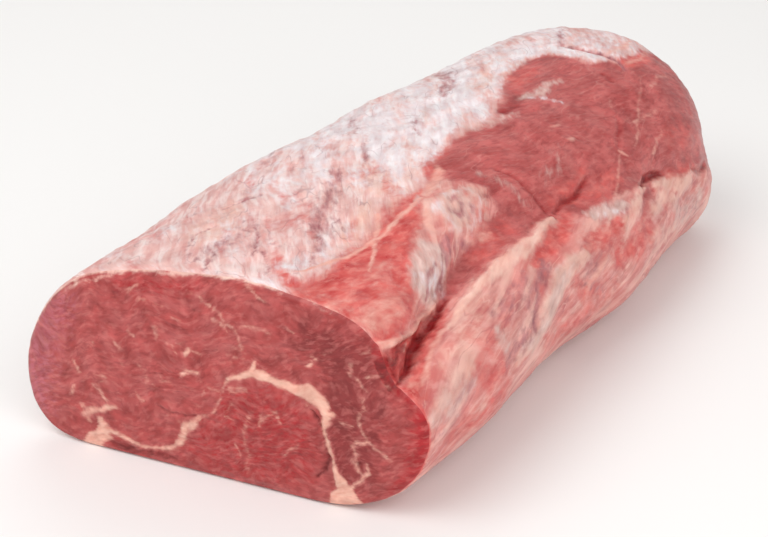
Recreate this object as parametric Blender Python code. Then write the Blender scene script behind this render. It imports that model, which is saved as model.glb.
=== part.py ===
"""Beef cube roll: the whole boneless rib-eye muscle, cut across at both ends and lying on its rib side.

The roll is one solid piece of meat. Its wall is a loft of ring outlines from the front cut to the back cut, with
the seam that runs along its right shoulder, the flap of fat above that seam, the swellings of the flank where the
ribs lay, and the muscles that stand up a little on each cut face.
Lengths are in millimetres in this file and become metres when the mesh is made. X runs across the roll, Y from
the front cut to the back cut, and Z up. The origin is under the middle of the roll, on the surface it lies on.
"""

import math
from typing import NamedTuple

import bmesh
import bpy
import numpy as np
from mathutils import Vector, noise

MM = 0.001

# Driving dimensions
ROLL_LENGTH = 360.0
CUT_WIDTH = 180.0
FRONT_SKEW = math.radians(6.0)
BACK_SKEW = math.radians(-5.0)
RIM_ROUNDING = 4.0
TAIL_LENGTH = 58.0

# Shares: how much of the rim's rounding is left at the foot, how much girth the roll loses where its back end
# rounds off, the height of the middle of a cut, and how far in from the rim a cut's muscles have risen
FOOT_ROUNDING = 0.2
TAIL_SHRINK = 0.25
CENTRE_HEIGHT = 0.42
MUSCLE_EDGE = 0.25

# How finely the solid is divided. One column of points lies along the seam, with closer ones beside it.
POINTS_AROUND = 80
OUTLINE_POINTS = 720
FINE_STEPS = 8
SEAM_COLUMN = 45
CLOSE_COLUMNS = 6
CLOSE_SPACING = 0.0078
WALL_STEPS = 42
RIM_STEPS = 3
CUT_STEPS = 7
SHARP_EDGE = math.radians(50.0)

# Reach to the left, reach to the right and height, in shares of the cut's width, at shares of the length
GIRTH_SHARES = (0.0, 0.25, 0.5, 0.75, 1.0)
LEFT_REACH = (0.515, 0.517, 0.435, 0.370, 0.290)
RIGHT_REACH = (0.501, 0.520, 0.519, 0.526, 0.478)
HEIGHT_REACH = (0.508, 0.522, 0.540, 0.555, 0.578)

# Cut outlines: across from -1, the left side, to 1, and up from 0 to 1. Each starts low on the left and runs over
# the top. The front one is broad and slumped, and the back one is close to an oval.
FRONT_OUTLINE = (
    (-0.66, 0.00), (-0.89, 0.04), (-0.98, 0.13), (-1.00, 0.27), (-0.99, 0.42), (-0.93, 0.58), (-0.83, 0.73),
    (-0.66, 0.86), (-0.44, 0.93), (-0.13, 0.98), (0.13, 1.00), (0.39, 0.97), (0.62, 0.89), (0.78, 0.77),
    (0.92, 0.63), (1.00, 0.49), (0.99, 0.37), (0.93, 0.23), (0.82, 0.11), (0.67, 0.03), (0.44, 0.00),
    (0.00, 0.00), (-0.44, 0.00),
)
BACK_OUTLINE = (
    (-0.45, 0.00), (-0.75, 0.05), (-0.93, 0.20), (-1.00, 0.42), (-0.95, 0.66), (-0.80, 0.84), (-0.50, 0.96),
    (-0.10, 1.00), (0.30, 0.97), (0.65, 0.84), (0.88, 0.64), (1.00, 0.42), (0.95, 0.20), (0.78, 0.06),
    (0.45, 0.00), (0.00, 0.00),
)
OUTLINE_BLEND_END = 0.6


class SeamPoint(NamedTuple):
    """One point of the seam along the right shoulder."""

    along: float
    around: float
    depth: float
    width: float


# The groove between the main muscle and the flank. along is millimetres from the front cut, and around is the
# share of the way round a ring.
SEAM = (
    SeamPoint(0.0, 0.570, 3.5, 8.0),
    SeamPoint(18.0, 0.561, 8.5, 7.5),
    SeamPoint(36.0, 0.549, 10.0, 7.0),
    SeamPoint(62.0, 0.543, 6.5, 7.0),
    SeamPoint(100.0, 0.538, 4.0, 8.0),
    SeamPoint(140.0, 0.548, 3.5, 9.0),
    SeamPoint(175.0, 0.567, 5.0, 9.0),
    SeamPoint(210.0, 0.585, 3.5, 10.0),
    SeamPoint(245.0, 0.612, 5.0, 9.0),
    SeamPoint(290.0, 0.640, 4.0, 10.0),
    SeamPoint(335.0, 0.650, 4.5, 10.0),
    SeamPoint(360.0, 0.650, 3.0, 10.0),
)


class Swelling(NamedTuple):
    """A soft rise of the wall, or a hollow where its height is negative."""

    around: float
    along: float
    half_around: float
    half_along: float
    height: float


SWELLINGS = (
    # the flap of fat above the seam, with its blunt front corner
    Swelling(0.505, 24.0, 22.0, 30.0, 3.5),
    Swelling(0.522, 20.0, 9.0, 22.0, 1.5),
    # the edge of the flank beside the seam
    Swelling(0.585, 80.0, 11.0, 55.0, 3.5),
    Swelling(0.610, 150.0, 11.0, 40.0, 2.5),
    # the flank, swollen between the places where the ribs lay
    Swelling(0.675, 60.0, 30.0, 26.0, 2.8),
    Swelling(0.690, 122.0, 28.0, 18.0, -1.5),
    Swelling(0.695, 200.0, 30.0, 34.0, 4.0),
    Swelling(0.690, 262.0, 28.0, 18.0, -1.5),
    Swelling(0.685, 320.0, 32.0, 26.0, 4.0),
    # the knob of fat and the crown of the main muscle
    Swelling(0.500, 115.0, 17.0, 18.0, 2.0),
    Swelling(0.520, 195.0, 42.0, 52.0, 2.5),
    Swelling(0.500, 292.0, 46.0, 34.0, 2.5),
    # the fold across the shoulder near the back
    Swelling(0.430, 300.0, 30.0, 6.0, -1.6),
    # the fat cover on the far side, which lies in low waves
    Swelling(0.280, 60.0, 34.0, 24.0, -1.5),
    Swelling(0.290, 128.0, 34.0, 26.0, 2.0),
    Swelling(0.290, 205.0, 34.0, 30.0, 1.8),
    Swelling(0.170, 95.0, 30.0, 34.0, 2.5),
    Swelling(0.170, 215.0, 30.0, 30.0, -2.0),
    Swelling(0.160, 290.0, 30.0, 30.0, 2.5),
)
LUMP_SIZE = 34.0
LUMP_HEIGHT = 1.1
FOOT_FADE = 14.0


class Muscle(NamedTuple):
    """A muscle that stands up a little on a cut face, at millimetres across and up from the middle of its foot."""

    across: float
    up: float
    half_across: float
    half_up: float
    height: float


FRONT_MUSCLES = (
    Muscle(-40.0, 44.0, 46.0, 34.0, 2.2),
    Muscle(16.0, 26.0, 28.0, 22.0, 2.8),
    Muscle(28.0, 68.0, 46.0, 14.0, 1.3),
    Muscle(67.0, 30.0, 18.0, 26.0, 1.8),
)
BACK_MUSCLES = (
    Muscle(14.0, 52.0, 40.0, 28.0, 2.6),
    Muscle(-22.0, 46.0, 16.0, 26.0, 1.6),
    Muscle(46.0, 36.0, 14.0, 22.0, 1.6),
)


def smooth_step(value):
    """0 below 0, 1 above 1, and an even S between."""
    value = np.clip(value, 0.0, 1.0)
    return value * value * (3.0 - 2.0 * value)


def through(stations, values, at):
    """A smooth curve through values at stations, read at one place or several."""
    stations = np.asarray(stations, float)
    values = np.asarray(values, float)
    slopes = np.gradient(values, stations)
    i = np.clip(np.searchsorted(stations, at, side="right") - 1, 0, len(stations) - 2)
    width = stations[i + 1] - stations[i]
    t = (at - stations[i]) / width
    return (
        (2 * t**3 - 3 * t**2 + 1) * values[i]
        + (t**3 - 2 * t**2 + t) * width * slopes[i]
        + (3 * t**2 - 2 * t**3) * values[i + 1]
        + (t**3 - t**2) * width * slopes[i + 1]
    )


def closed_outline(points, count):
    """count points evenly spaced along a closed smooth curve through the given ones."""
    points = np.asarray(points, float)
    looped = np.vstack([points[-3:], points, points[:4]])
    steps = np.linalg.norm(np.diff(looped, axis=0), axis=1)
    along = np.concatenate([[0.0], np.cumsum(steps)])
    fine = np.linspace(along[3], along[3 + len(points)], FINE_STEPS * count)
    curve = np.stack([through(along, looped[:, k], fine) for k in range(2)], axis=1)
    length = np.concatenate([[0.0], np.cumsum(np.linalg.norm(np.diff(curve, axis=0), axis=1))])
    even = np.linspace(0.0, length[-1], count, endpoint=False)
    return np.stack([np.interp(even, length, curve[:, k]) for k in range(2)], axis=1)


def tail_scale(distance):
    """How much of its girth a ring keeps at this distance from the back cut, where the roll rounds off."""
    share = np.clip(distance / TAIL_LENGTH, 0.0, 1.0)
    return 1.0 - TAIL_SHRINK * (1.0 - math.sqrt(1.0 - (1.0 - share) ** 2))


def base_ring(share, front, back):
    """The plain ring outline at a share of the length, as (across, up) points."""
    left, right, height = (
        CUT_WIDTH * through(GIRTH_SHARES, reach, share) for reach in (LEFT_REACH, RIGHT_REACH, HEIGHT_REACH)
    )
    blend = smooth_step(share / OUTLINE_BLEND_END)
    outline = (1.0 - blend) * front + blend * back
    centre = np.array([(right - left) / 2, CENTRE_HEIGHT * height])
    ring = np.stack([centre[0] + outline[:, 0] * (right + left) / 2, outline[:, 1] * height], axis=1)
    return centre + (ring - centre) * tail_scale((1.0 - share) * ROLL_LENGTH)


def outward(ring):
    """The unit normals of a ring that runs clockwise, in its own plane."""
    ahead = np.roll(ring, -1, axis=0) - np.roll(ring, 1, axis=0)
    normals = np.stack([-ahead[:, 1], ahead[:, 0]], axis=1)
    return normals / np.linalg.norm(normals, axis=1, keepdims=True)


def seam_at(along):
    """Where the seam's middle is, how deep it is and how wide, at millimetres from the front cut."""
    stations = [point.along for point in SEAM]
    return [through(stations, [getattr(point, name) for point in SEAM], along) for name in SeamPoint._fields[1:]]


def wall_relief(ring, share):
    """How far each point of a ring stands out from the plain outline."""
    along = share * ROLL_LENGTH
    girth = np.linalg.norm(np.roll(ring, -1, axis=0) - ring, axis=1).sum()
    around = np.arange(len(ring)) / len(ring)
    relief = np.zeros(len(ring))
    for rise in SWELLINGS:
        away = (around - rise.around) * girth / rise.half_around
        relief += rise.height * np.exp(-(away**2) - ((along - rise.along) / rise.half_along) ** 2)
    middle, depth, width = seam_at(along)
    relief -= depth * np.exp(-(((around - middle) * girth / width) ** 2))
    for i, (x, z) in enumerate(ring):
        relief[i] += LUMP_HEIGHT * noise.noise(Vector((x, along, z)) / LUMP_SIZE)
    return relief * smooth_step(ring[:, 1] / FOOT_FADE)


def columns_at(along):
    """The share of the way round of every column of points, one of them in the middle of the seam."""
    middle = seam_at(along)[0]
    beside = CLOSE_COLUMNS * CLOSE_SPACING
    stations = (0, SEAM_COLUMN - CLOSE_COLUMNS, SEAM_COLUMN, SEAM_COLUMN + CLOSE_COLUMNS, POINTS_AROUND)
    return through(stations, (0.0, middle - beside, middle, middle + beside, 1.0), np.arange(POINTS_AROUND))


def ring_points(share, front, back, inset=0.0):
    """The ring at a share of the length, as points in space. It is set in from the wall by inset, and its plane
    turns evenly from the front cut's skew to the back cut's."""
    ring = base_ring(share, front, back)
    inset = inset * (FOOT_ROUNDING + (1.0 - FOOT_ROUNDING) * smooth_step(ring[:, 1] / FOOT_FADE))
    ring = ring + outward(ring) * (wall_relief(ring, share) - inset)[:, None]
    at = columns_at(share * ROLL_LENGTH)
    fine = np.arange(OUTLINE_POINTS + 1) / OUTLINE_POINTS
    across, up = (np.interp(at, fine, np.append(ring[:, k], ring[0, k])) for k in range(2))
    along = (1.0 - share) * across * math.tan(FRONT_SKEW) + share * (ROLL_LENGTH + across * math.tan(BACK_SKEW))
    return np.stack([across, along, np.maximum(up, 0.0)], axis=1)


def cut_rings(rim, muscles, outward_sign):
    """Rings from the rim of a cut face in to its middle, standing up where the muscles do. The last is one point."""
    middle = np.array([rim[:, 0].mean(), rim[:, 1].mean(), CENTRE_HEIGHT * rim[:, 2].max()])
    rings = []
    for step in range(1, CUT_STEPS + 1):
        share = step / CUT_STEPS
        ring = rim + (middle - rim) * share
        rise = np.zeros(len(ring))
        for muscle in muscles:
            across = (ring[:, 0] - muscle.across) / muscle.half_across
            up = (ring[:, 2] - muscle.up) / muscle.half_up
            rise += muscle.height * np.exp(-(across**2) - up**2)
        ring[:, 1] += outward_sign * rise * smooth_step(share / MUSCLE_EDGE)
        rings.append(ring[:1] if step == CUT_STEPS else ring)
    return rings


def rim_rings(front, back, at_front):
    """The rounded rim between a cut face and the wall, from the face to the wall."""
    rings = []
    for step in range(RIM_STEPS + 1):
        turn = math.pi / 2 * step / RIM_STEPS
        depth = RIM_ROUNDING * (1.0 - math.cos(turn)) / ROLL_LENGTH
        share = depth if at_front else 1.0 - depth
        rings.append(ring_points(share, front, back, inset=RIM_ROUNDING * (1.0 - math.sin(turn))))
    return rings


def roll_rings():
    """Every ring of the solid in order, from the middle of the front cut to the middle of the back cut."""
    front = closed_outline(FRONT_OUTLINE, OUTLINE_POINTS)
    back = closed_outline(BACK_OUTLINE, OUTLINE_POINTS)
    front_rim = rim_rings(front, back, at_front=True)
    back_rim = rim_rings(front, back, at_front=False)
    first = RIM_ROUNDING / ROLL_LENGTH
    shares = np.linspace(first, 1.0 - first, WALL_STEPS + 1)[1:-1]
    wall = [ring_points(share, front, back) for share in shares]
    front_cut = cut_rings(front_rim[0], FRONT_MUSCLES, outward_sign=-1.0)
    back_cut = cut_rings(back_rim[0], BACK_MUSCLES, outward_sign=1.0)
    return front_cut[::-1] + front_rim + wall + back_rim[::-1] + back_cut


def loft(name, rings):
    """One closed mesh object through the rings, whose first and last are single points."""
    shape = bmesh.new()
    rows = [[shape.verts.new(Vector(point) * MM) for point in ring] for ring in rings]
    for row, following in zip(rows, rows[1:]):
        for i in range(POINTS_AROUND):
            j = (i + 1) % POINTS_AROUND
            corners = [row[i % len(row)], following[i % len(following)]]
            corners += [following[j]] if len(following) > 1 else []
            corners += [row[j]] if len(row) > 1 else []
            shape.faces.new(corners)
    bmesh.ops.recalc_face_normals(shape, faces=shape.faces)
    mesh = bpy.data.meshes.new(name)
    shape.to_mesh(mesh)
    shape.free()
    mesh.shade_smooth()
    mesh.set_sharp_from_angle(angle=SHARP_EDGE)
    return bpy.data.objects.new(name, mesh)


def raw_beef():
    """The roll's material: moist red lean."""
    material = bpy.data.materials.new("raw_beef")
    material.use_nodes = True
    shader = material.node_tree.nodes["Principled BSDF"]
    shader.inputs["Base Color"].default_value = (0.50, 0.13, 0.11, 1.0)
    shader.inputs["Roughness"].default_value = 0.45
    shader.inputs["Metallic"].default_value = 0.0
    return material


def centre_on_foot(obj):
    """Moves the mesh so that the middle of its box is over the origin and its foot is at zero height."""
    points = np.array([vertex.co for vertex in obj.data.vertices])
    low, high = points.min(axis=0), points.max(axis=0)
    for vertex in obj.data.vertices:
        vertex.co -= Vector(((low[0] + high[0]) / 2, (low[1] + high[1]) / 2, low[2]))


def main():
    """Clears the scene and makes the roll."""
    for obj in list(bpy.data.objects):
        bpy.data.objects.remove(obj)
    collection = bpy.data.collections.new("beef_cube_roll_parts")
    bpy.context.scene.collection.children.link(collection)
    roll = loft("beef_cube_roll", roll_rings())
    centre_on_foot(roll)
    roll.data.materials.append(raw_beef())
    collection.objects.link(roll)


if __name__ == "__main__":
    main()
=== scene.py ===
"""The looks of a beef cube roll: a raw boneless rib-eye roll with two cut faces, a fat cover and a long seam.

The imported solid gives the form. Its wall is measured with rays from the middle line, smoothed, and laid out
as one fine grid of rows along the roll and columns around it. Relief and marks are then worked out in
millimetres on the unrolled wall and on the cut faces. The grid is divided into five closed pieces that
stand for the solid.
"""

from __future__ import annotations

import logging
import math
import random
from dataclasses import dataclass, field, replace
from enum import Enum
from typing import Any, Sequence

import bpy
import numpy as np
from mathutils import Matrix, Vector
from mathutils.bvhtree import BVHTree


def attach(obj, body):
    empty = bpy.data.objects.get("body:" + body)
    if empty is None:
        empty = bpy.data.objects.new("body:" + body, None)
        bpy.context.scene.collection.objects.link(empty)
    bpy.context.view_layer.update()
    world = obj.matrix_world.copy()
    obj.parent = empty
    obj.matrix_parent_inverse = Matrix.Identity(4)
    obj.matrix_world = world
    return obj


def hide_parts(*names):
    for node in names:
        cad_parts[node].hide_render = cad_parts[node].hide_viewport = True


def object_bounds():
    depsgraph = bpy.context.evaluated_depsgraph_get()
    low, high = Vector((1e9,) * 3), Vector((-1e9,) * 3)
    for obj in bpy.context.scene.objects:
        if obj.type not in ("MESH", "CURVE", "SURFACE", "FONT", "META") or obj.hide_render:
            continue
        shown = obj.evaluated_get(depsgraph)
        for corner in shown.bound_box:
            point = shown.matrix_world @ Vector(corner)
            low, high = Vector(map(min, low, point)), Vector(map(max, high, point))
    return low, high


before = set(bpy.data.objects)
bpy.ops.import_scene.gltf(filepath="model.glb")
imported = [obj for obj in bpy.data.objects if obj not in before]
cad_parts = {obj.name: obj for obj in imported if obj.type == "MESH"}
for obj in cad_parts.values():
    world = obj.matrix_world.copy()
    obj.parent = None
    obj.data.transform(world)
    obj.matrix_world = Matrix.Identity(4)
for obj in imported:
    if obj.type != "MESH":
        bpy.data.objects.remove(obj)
CAD_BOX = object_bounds()

NODE = "beef_cube_roll"
BODY = "root"
MM = 0.001
FAR_AWAY = 1e3  # millimetres, past the reach of any mark
LOG = logging.getLogger(NODE)

Array = np.ndarray
Pair = tuple[float, float]
Pairs = tuple[Pair, ...]


def smooth_step(low: float, high: float, value: Array) -> Array:
    """An even S from 0 at low to 1 at high."""
    t = np.clip((value - low) / (high - low), 0.0, 1.0)
    return t * t * (3.0 - 2.0 * t)


def through(stations: Sequence[float], values: Sequence[Any], at: Any) -> Array:
    """A smooth curve through values at stations.

    Args:
        stations: rising places, two or more.
        values: a number or an array for each station.
        at: the place or places to read.

    Returns:
        The values there, held level past the first and last station.
    """
    stations, values = np.asarray(stations, float), np.asarray(values, float)
    at = np.clip(np.asarray(at, float), stations[0], stations[-1])
    slopes = np.gradient(values, stations, axis=0)
    i = np.clip(np.searchsorted(stations, at, side="right") - 1, 0, len(stations) - 2)
    width = stations[i + 1] - stations[i]
    t = (at - stations[i]) / width
    spare = values.ndim - 1
    t, width = (x.reshape(np.shape(x) + (1,) * spare) for x in (t, width))
    return (
        (2 * t**3 - 3 * t**2 + 1) * values[i]
        + (t**3 - 2 * t**2 + t) * width * slopes[i]
        + (3 * t**2 - 2 * t**3) * values[i + 1]
        + (t**3 - t**2) * width * slopes[i + 1]
    )


def blurred(values: Array, sigma: float, axis: int, wraps: bool) -> Array:
    """Values smoothed by a bell curve.

    Args:
        values: an array of any shape.
        sigma: the bell's spread, in steps of the array.
        axis: the axis to smooth along.
        wraps: whether the last value is next to the first. Otherwise the ends are held level.

    Returns:
        An array of the same shape.
    """
    reach = int(math.ceil(3 * sigma))
    weights = np.exp(-0.5 * (np.arange(-reach, reach + 1) / sigma) ** 2)
    weights /= weights.sum()
    count = values.shape[axis]
    total = np.zeros_like(values)
    for step, weight in zip(range(-reach, reach + 1), weights):
        index = np.arange(count) + step
        index = index % count if wraps else np.clip(index, 0, count - 1)
        total += weight * np.take(values, index, axis=axis)
    return total


class Noise:
    """Seeded smooth noise over two coordinates, from about -1 to 1, with features about one unit apart.

    Where a second layer, the next wave or the second coordinate needs a pattern of its own, the noise is
    read some way off, by the shifts below.
    """

    SIZE = 256
    GAIN = 1.5
    LAYER_SHIFT = (17.3, -9.1)
    WAVE_SHIFT = 7
    SECOND_SHIFT = 40

    def __init__(self, seed: int) -> None:
        """Draws the slope at each corner of the noise's squares.

        Args:
            seed: picks the pattern.
        """
        turns = np.random.default_rng(seed).uniform(0.0, 2.0 * math.pi, (self.SIZE, self.SIZE))
        self.slopes = np.stack([np.cos(turns), np.sin(turns)], axis=-1)

    def at(self, x: Array, y: Array) -> Array:
        """The noise at each (x, y)."""
        left, low = np.floor(x).astype(int), np.floor(y).astype(int)
        dx, dy = x - left, y - low
        fade_x, fade_y = (t * t * t * (t * (t * 6 - 15) + 10) for t in (dx, dy))
        corners = []
        for i in (0, 1):
            for j in (0, 1):
                slope = self.slopes[(left + i) % self.SIZE, (low + j) % self.SIZE]
                corners.append(slope[..., 0] * (dx - i) + slope[..., 1] * (dy - j))
        near = corners[0] + (corners[2] - corners[0]) * fade_x
        far = corners[1] + (corners[3] - corners[1]) * fade_x
        return self.GAIN * (near + (far - near) * fade_y)

    def rough(self, x: Array, y: Array) -> Array:
        """The noise with a second layer on it, half as high and twice as fine."""
        return self.at(x, y) + self.at(x * 2 + self.LAYER_SHIFT[0], y * 2 + self.LAYER_SHIFT[1]) / 2

    def bent(self, x: Array, y: Array, spot: tuple[Array, Array], waves: Pairs) -> tuple[Array, Array]:
        """Coordinates that wander a little, so that no mark looks ruled.

        Args:
            x: the first coordinate, in millimetres.
            y: the second coordinate, in millimetres.
            spot: the two coordinates at which the noise is read, in millimetres.
            waves: how high and how long each wave is, in millimetres.

        Returns:
            The coordinates, moved.
        """
        for k, (height, length) in enumerate(waves):
            across, along = spot[0] / length, spot[1] / length
            x = x + height * self.at(across + self.WAVE_SHIFT * k, along)
            y = y + height * self.at(across + (self.SECOND_SHIFT + self.WAVE_SHIFT * k), along)
        return x, y


class Tissue(Enum):
    """What shows at a spot of the surface. The value names the mesh attribute that holds its cover."""

    FAT = "fat"
    LEAN = "lean"
    BLOOD = "blood"
    CREAM = "cream"
    GREY = "grey"
    # deep red, which in the seam and the creases also stands for painted shade
    DEEP = "deep"
    PURPLE = "purple"
    THREAD = "thread"
    WHITE = "white"


def from_segment(x: Array, y: Array, start: Pair, end: Pair) -> tuple[Array, Array]:
    """How far places are from a straight piece of a path.

    Args:
        x: the places' first coordinate.
        y: their second coordinate.
        start: the piece's start.
        end: its end.

    Returns:
        The distances, and how far along the piece the nearest point lies, from 0 to 1.
    """
    (x0, y0), (x1, y1) = start, end
    length2 = (x1 - x0) ** 2 + (y1 - y0) ** 2
    t = np.clip(((x - x0) * (x1 - x0) + (y - y0) * (y1 - y0)) / length2, 0.0, 1.0)
    return np.hypot(x - x0 - t * (x1 - x0), y - y0 - t * (y1 - y0)), t


@dataclass(frozen=True)
class Streak:
    """A mark that follows a path, in millimetres on the unrolled wall or on a cut face.

    Soft is the width of its faded edge, strength its cover where it is full, and rise how far it stands
    out.
    """

    tissue: Tissue
    path: Pairs
    half_widths: tuple[float, ...]
    soft: float = 1.5
    strength: float = 1.0
    rise: float = 0.0

    def cover(self, x: Array, y: Array) -> Array:
        """How much of the mark lies at each place, from 0 to 1."""
        best = np.full(np.shape(x), FAR_AWAY)
        stations, given = (np.linspace(0, 1, len(values)) for values in (self.path, self.half_widths))
        widths = np.interp(stations, given, self.half_widths)
        for k in range(len(self.path) - 1):
            away, t = from_segment(x, y, self.path[k], self.path[k + 1])
            best = np.minimum(best, away - widths[k] - t * (widths[k + 1] - widths[k]))
        return 1.0 - smooth_step(-self.soft / 2, self.soft, best)


@dataclass(frozen=True)
class Patch:
    """A mark that fills an outline, in millimetres on the unrolled wall or on a cut face.

    Soft is how far its edge fades to either side. Strength and rise are a streak's.
    """

    tissue: Tissue
    outline: Pairs
    soft: float = 2.5
    strength: float = 1.0
    rise: float = 0.0

    def cover(self, x: Array, y: Array) -> Array:
        """How much of the mark lies at each place, from 0 to 1."""
        away = np.full(np.shape(x), FAR_AWAY)
        inside = np.zeros(np.shape(x), bool)
        for k, (x0, y0) in enumerate(self.outline):
            x1, y1 = self.outline[(k + 1) % len(self.outline)]
            away = np.minimum(away, from_segment(x, y, (x0, y0), (x1, y1))[0])
            if y1 != y0:
                crosses = (y0 > y) != (y1 > y)
                inside ^= crosses & (x < (x1 - x0) * (y - y0) / (y1 - y0) + x0)
        return smooth_step(-self.soft, self.soft, np.where(inside, away, -away))


Mark = Streak | Patch


def streaks_of(tissue: Tissue, *rows: tuple[Any, ...]) -> tuple[Streak, ...]:
    """Streaks of one tissue.

    Args:
        tissue: the tissue.
        rows: the path and the half widths of each, and where given its softness, strength and rise.

    Returns:
        The streaks, in the same order.
    """
    return tuple(Streak(tissue, *row) for row in rows)


@dataclass
class Skin:
    """The unrolled wall: for each row and column, where it is round the roll and along it, in millimetres.

    Travelled is the way along the surface itself, which is longer where the end is rounded. Below is the
    way round to the middle of the underside. Up is the height, and past_seam is true on the flank's side of
    the seam.
    """

    around: Array
    along: Array
    travelled: Array
    below: Array
    up: Array
    past_seam: Array


@dataclass
class RollForm:
    """The roll's outer form as a grid of rows along the roll and columns around it, in millimetres.

    A ring lies in an upright plane that turns evenly from the front cut's skew to the back cut's. Columns
    start in the middle of the underside and run over the left side, the top and the right side. Places on
    the wall are given by their distance round from the crown, to the right, and by their distance along
    from the front cut.

    The rim fields round the front rim, less so at its foot. The tail is the rounded stretch before the back
    cut. The stations are the rings that are measured, and tail_stations says how those in the tail are
    spread: from the square of the first share to that of the second, and how many. The middle of a ring is
    looked for from look_height and set at middle_height, a share of the ring's own height. Columns are
    packed closely beside the seam: seam_columns of them on each side, seam_gap apart. Smooth and blur
    fields are spreads of bell curves.
    """

    length: float = 360.0
    front_middle_y: float = -177.4
    front_skew: float = math.radians(6.0)
    back_skew: float = math.radians(-5.0)
    rim: float = 4.0
    foot_rim: float = 0.8
    foot_fade: float = 14.0
    station_gap: float = 4.0
    tail: float = 14.0
    tail_stations: tuple[float, float, int] = (0.95, 0.19, 9)
    look_height: float = 30.0
    middle_height: float = 0.42
    turns: int = 720
    smooth_stations: float = 1.25
    smooth_around: float = 3.6
    girth_blur: float = 4.0
    columns: int = 480
    row_gap: float = 0.95
    rim_rows: int = 6
    tail_rows: int = 26
    cut_rows: int = 92
    cut_reach: float = 0.985
    short_of_back: float = 0.5
    seam_place: float = 0.67
    seam_columns: int = 14
    seam_gap: float = 0.55
    seam: Pairs = (
        (0.0, 95.0), (19.0, 89.0), (29.0, 85.5), (40.0, 81.5), (50.0, 78.5), (75.0, 75.5), (110.0, 76.0),
        (150.0, 76.0), (185.0, 72.0), (215.0, 84.0), (250.0, 88.0), (290.0, 96.0), (360.0, 96.0),
    )

    def slope(self, share: Any) -> Any:
        """How far a ring's plane runs back for each millimetre across, at a share of the length."""
        return (1.0 - share) * math.tan(self.front_skew) + share * math.tan(self.back_skew)

    def measure(self) -> None:
        """Casts rays from the middle line out to the solid's wall, and keeps the smoothed reach of each."""
        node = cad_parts[NODE].data
        tree = BVHTree.FromPolygons([v.co for v in node.vertices], [p.vertices[:] for p in node.polygons])
        even = np.arange(self.rim + 1.0, self.length - self.tail, self.station_gap)
        self.stations = np.append(even, self.length - self.tail * np.linspace(*self.tail_stations) ** 2)
        self.angles = -math.pi / 2 - np.arange(self.turns) * 2 * math.pi / self.turns
        self.middles = np.zeros((len(self.stations), 2))
        reach = np.zeros((len(self.stations), self.turns))
        for j, along in enumerate(self.stations):
            slope = self.slope(along / self.length)

            def cast(x: float, z: float, angle: float) -> float:
                """The distance from (x, z) to the wall, in the ring's plane seen from the front."""
                origin = Vector((x, self.front_middle_y + along + x * slope, z)) * MM
                way = Vector((math.cos(angle), slope * math.cos(angle), math.sin(angle)))
                hit = tree.ray_cast(origin, way)[0]
                return (hit - origin).length / MM / way.length

            height = self.middle_height * (cast(0.0, self.look_height, math.pi / 2) + self.look_height)
            right, left = cast(0.0, height, 0.0), cast(0.0, height, math.pi)
            self.middles[j] = (right - left) / 2, height
            reach[j] = [cast(*self.middles[j], angle) for angle in self.angles]
        steps = self.smooth_around / (2 * math.pi * reach.mean() / self.turns)
        reach = blurred(reach, steps, axis=1, wraps=True)
        self.reach = blurred(reach, self.smooth_stations, axis=0, wraps=False)
        self.middles = blurred(self.middles, self.smooth_stations, axis=0, wraps=False)

    def rings(self, alongs: Array) -> Array:
        """Rings of (across, up) points, evenly turned round the middle line.

        Args:
            alongs: millimetres from the front cut, one for each ring.

        Returns:
            An array of rings by turns by 2.
        """
        middles = through(self.stations, self.middles, alongs)
        reach = through(self.stations, self.reach, alongs)
        ways = np.stack([np.cos(self.angles), np.sin(self.angles)], axis=1)
        points = middles[:, None] + reach[..., None] * ways
        points[..., 1] = np.maximum(points[..., 1], 0.0)
        return points

    def row_places(self) -> Array:
        """How far along each row of the wall lies. Rows are close together at the rim and in the tail."""
        front_turn = np.linspace(0.0, math.pi / 2, self.rim_rows)
        back_turn = np.linspace(0.0, math.pi / 2, self.tail_rows)
        front = self.rim * (1.0 - np.cos(front_turn))
        back = self.length - self.short_of_back - self.tail * (1.0 - np.sin(back_turn))
        count = int((back[0] - front[-1]) / self.row_gap)
        return np.concatenate([front, np.linspace(front[-1], back[0], count)[1:-1], back])

    def lay_out(self) -> None:
        """Makes the wall's grid, with one column in the seam, and the coordinates of the unrolled wall."""
        alongs = self.row_places()
        rings = self.rings(alongs)
        closed = np.concatenate([rings, rings[:, :1]], axis=1)
        steps = np.linalg.norm(np.diff(closed, axis=1), axis=2)
        lengths = np.concatenate([np.zeros((len(alongs), 1)), np.cumsum(steps, axis=1)], axis=1)
        self.girths = blurred(lengths[:, -1:], self.girth_blur, axis=0, wraps=False)[:, 0]
        seam_along, seam_around = zip(*self.seam)
        seam = 0.5 + through(seam_along, seam_around, alongs) / self.girths
        self.seam_column = int(round(self.seam_place * self.columns))
        packed = self.seam_columns
        column = np.arange(self.columns)
        wall = np.zeros((len(alongs), self.columns, 2))
        around = np.zeros((len(alongs), self.columns))
        for j in range(len(alongs)):
            near = packed * self.seam_gap / self.girths[j]
            at = through(
                (0, self.seam_column - packed, self.seam_column, self.seam_column + packed, self.columns),
                (0.0, seam[j] - near, seam[j], seam[j] + near, 1.0),
                column,
            )
            around[j] = (at - 0.5) * self.girths[j]
            for k in range(2):
                wall[j, :, k] = np.interp(at * lengths[j, -1], lengths[j], closed[j, :, k])
        past_seam = np.broadcast_to(column >= self.seam_column, around.shape)
        inward = np.linalg.norm(np.diff(wall, axis=0), axis=2).mean(axis=1)
        travelled = np.append(0.0, np.cumsum(np.hypot(np.diff(alongs), inward)))
        along, travelled = (np.repeat(row[:, None], self.columns, axis=1) for row in (alongs, travelled))
        below = self.girths[:, None] / 2 - np.abs(around)
        self.skin = Skin(around, along, travelled, below, wall[..., 1], past_seam)
        self.wall = wall

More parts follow.
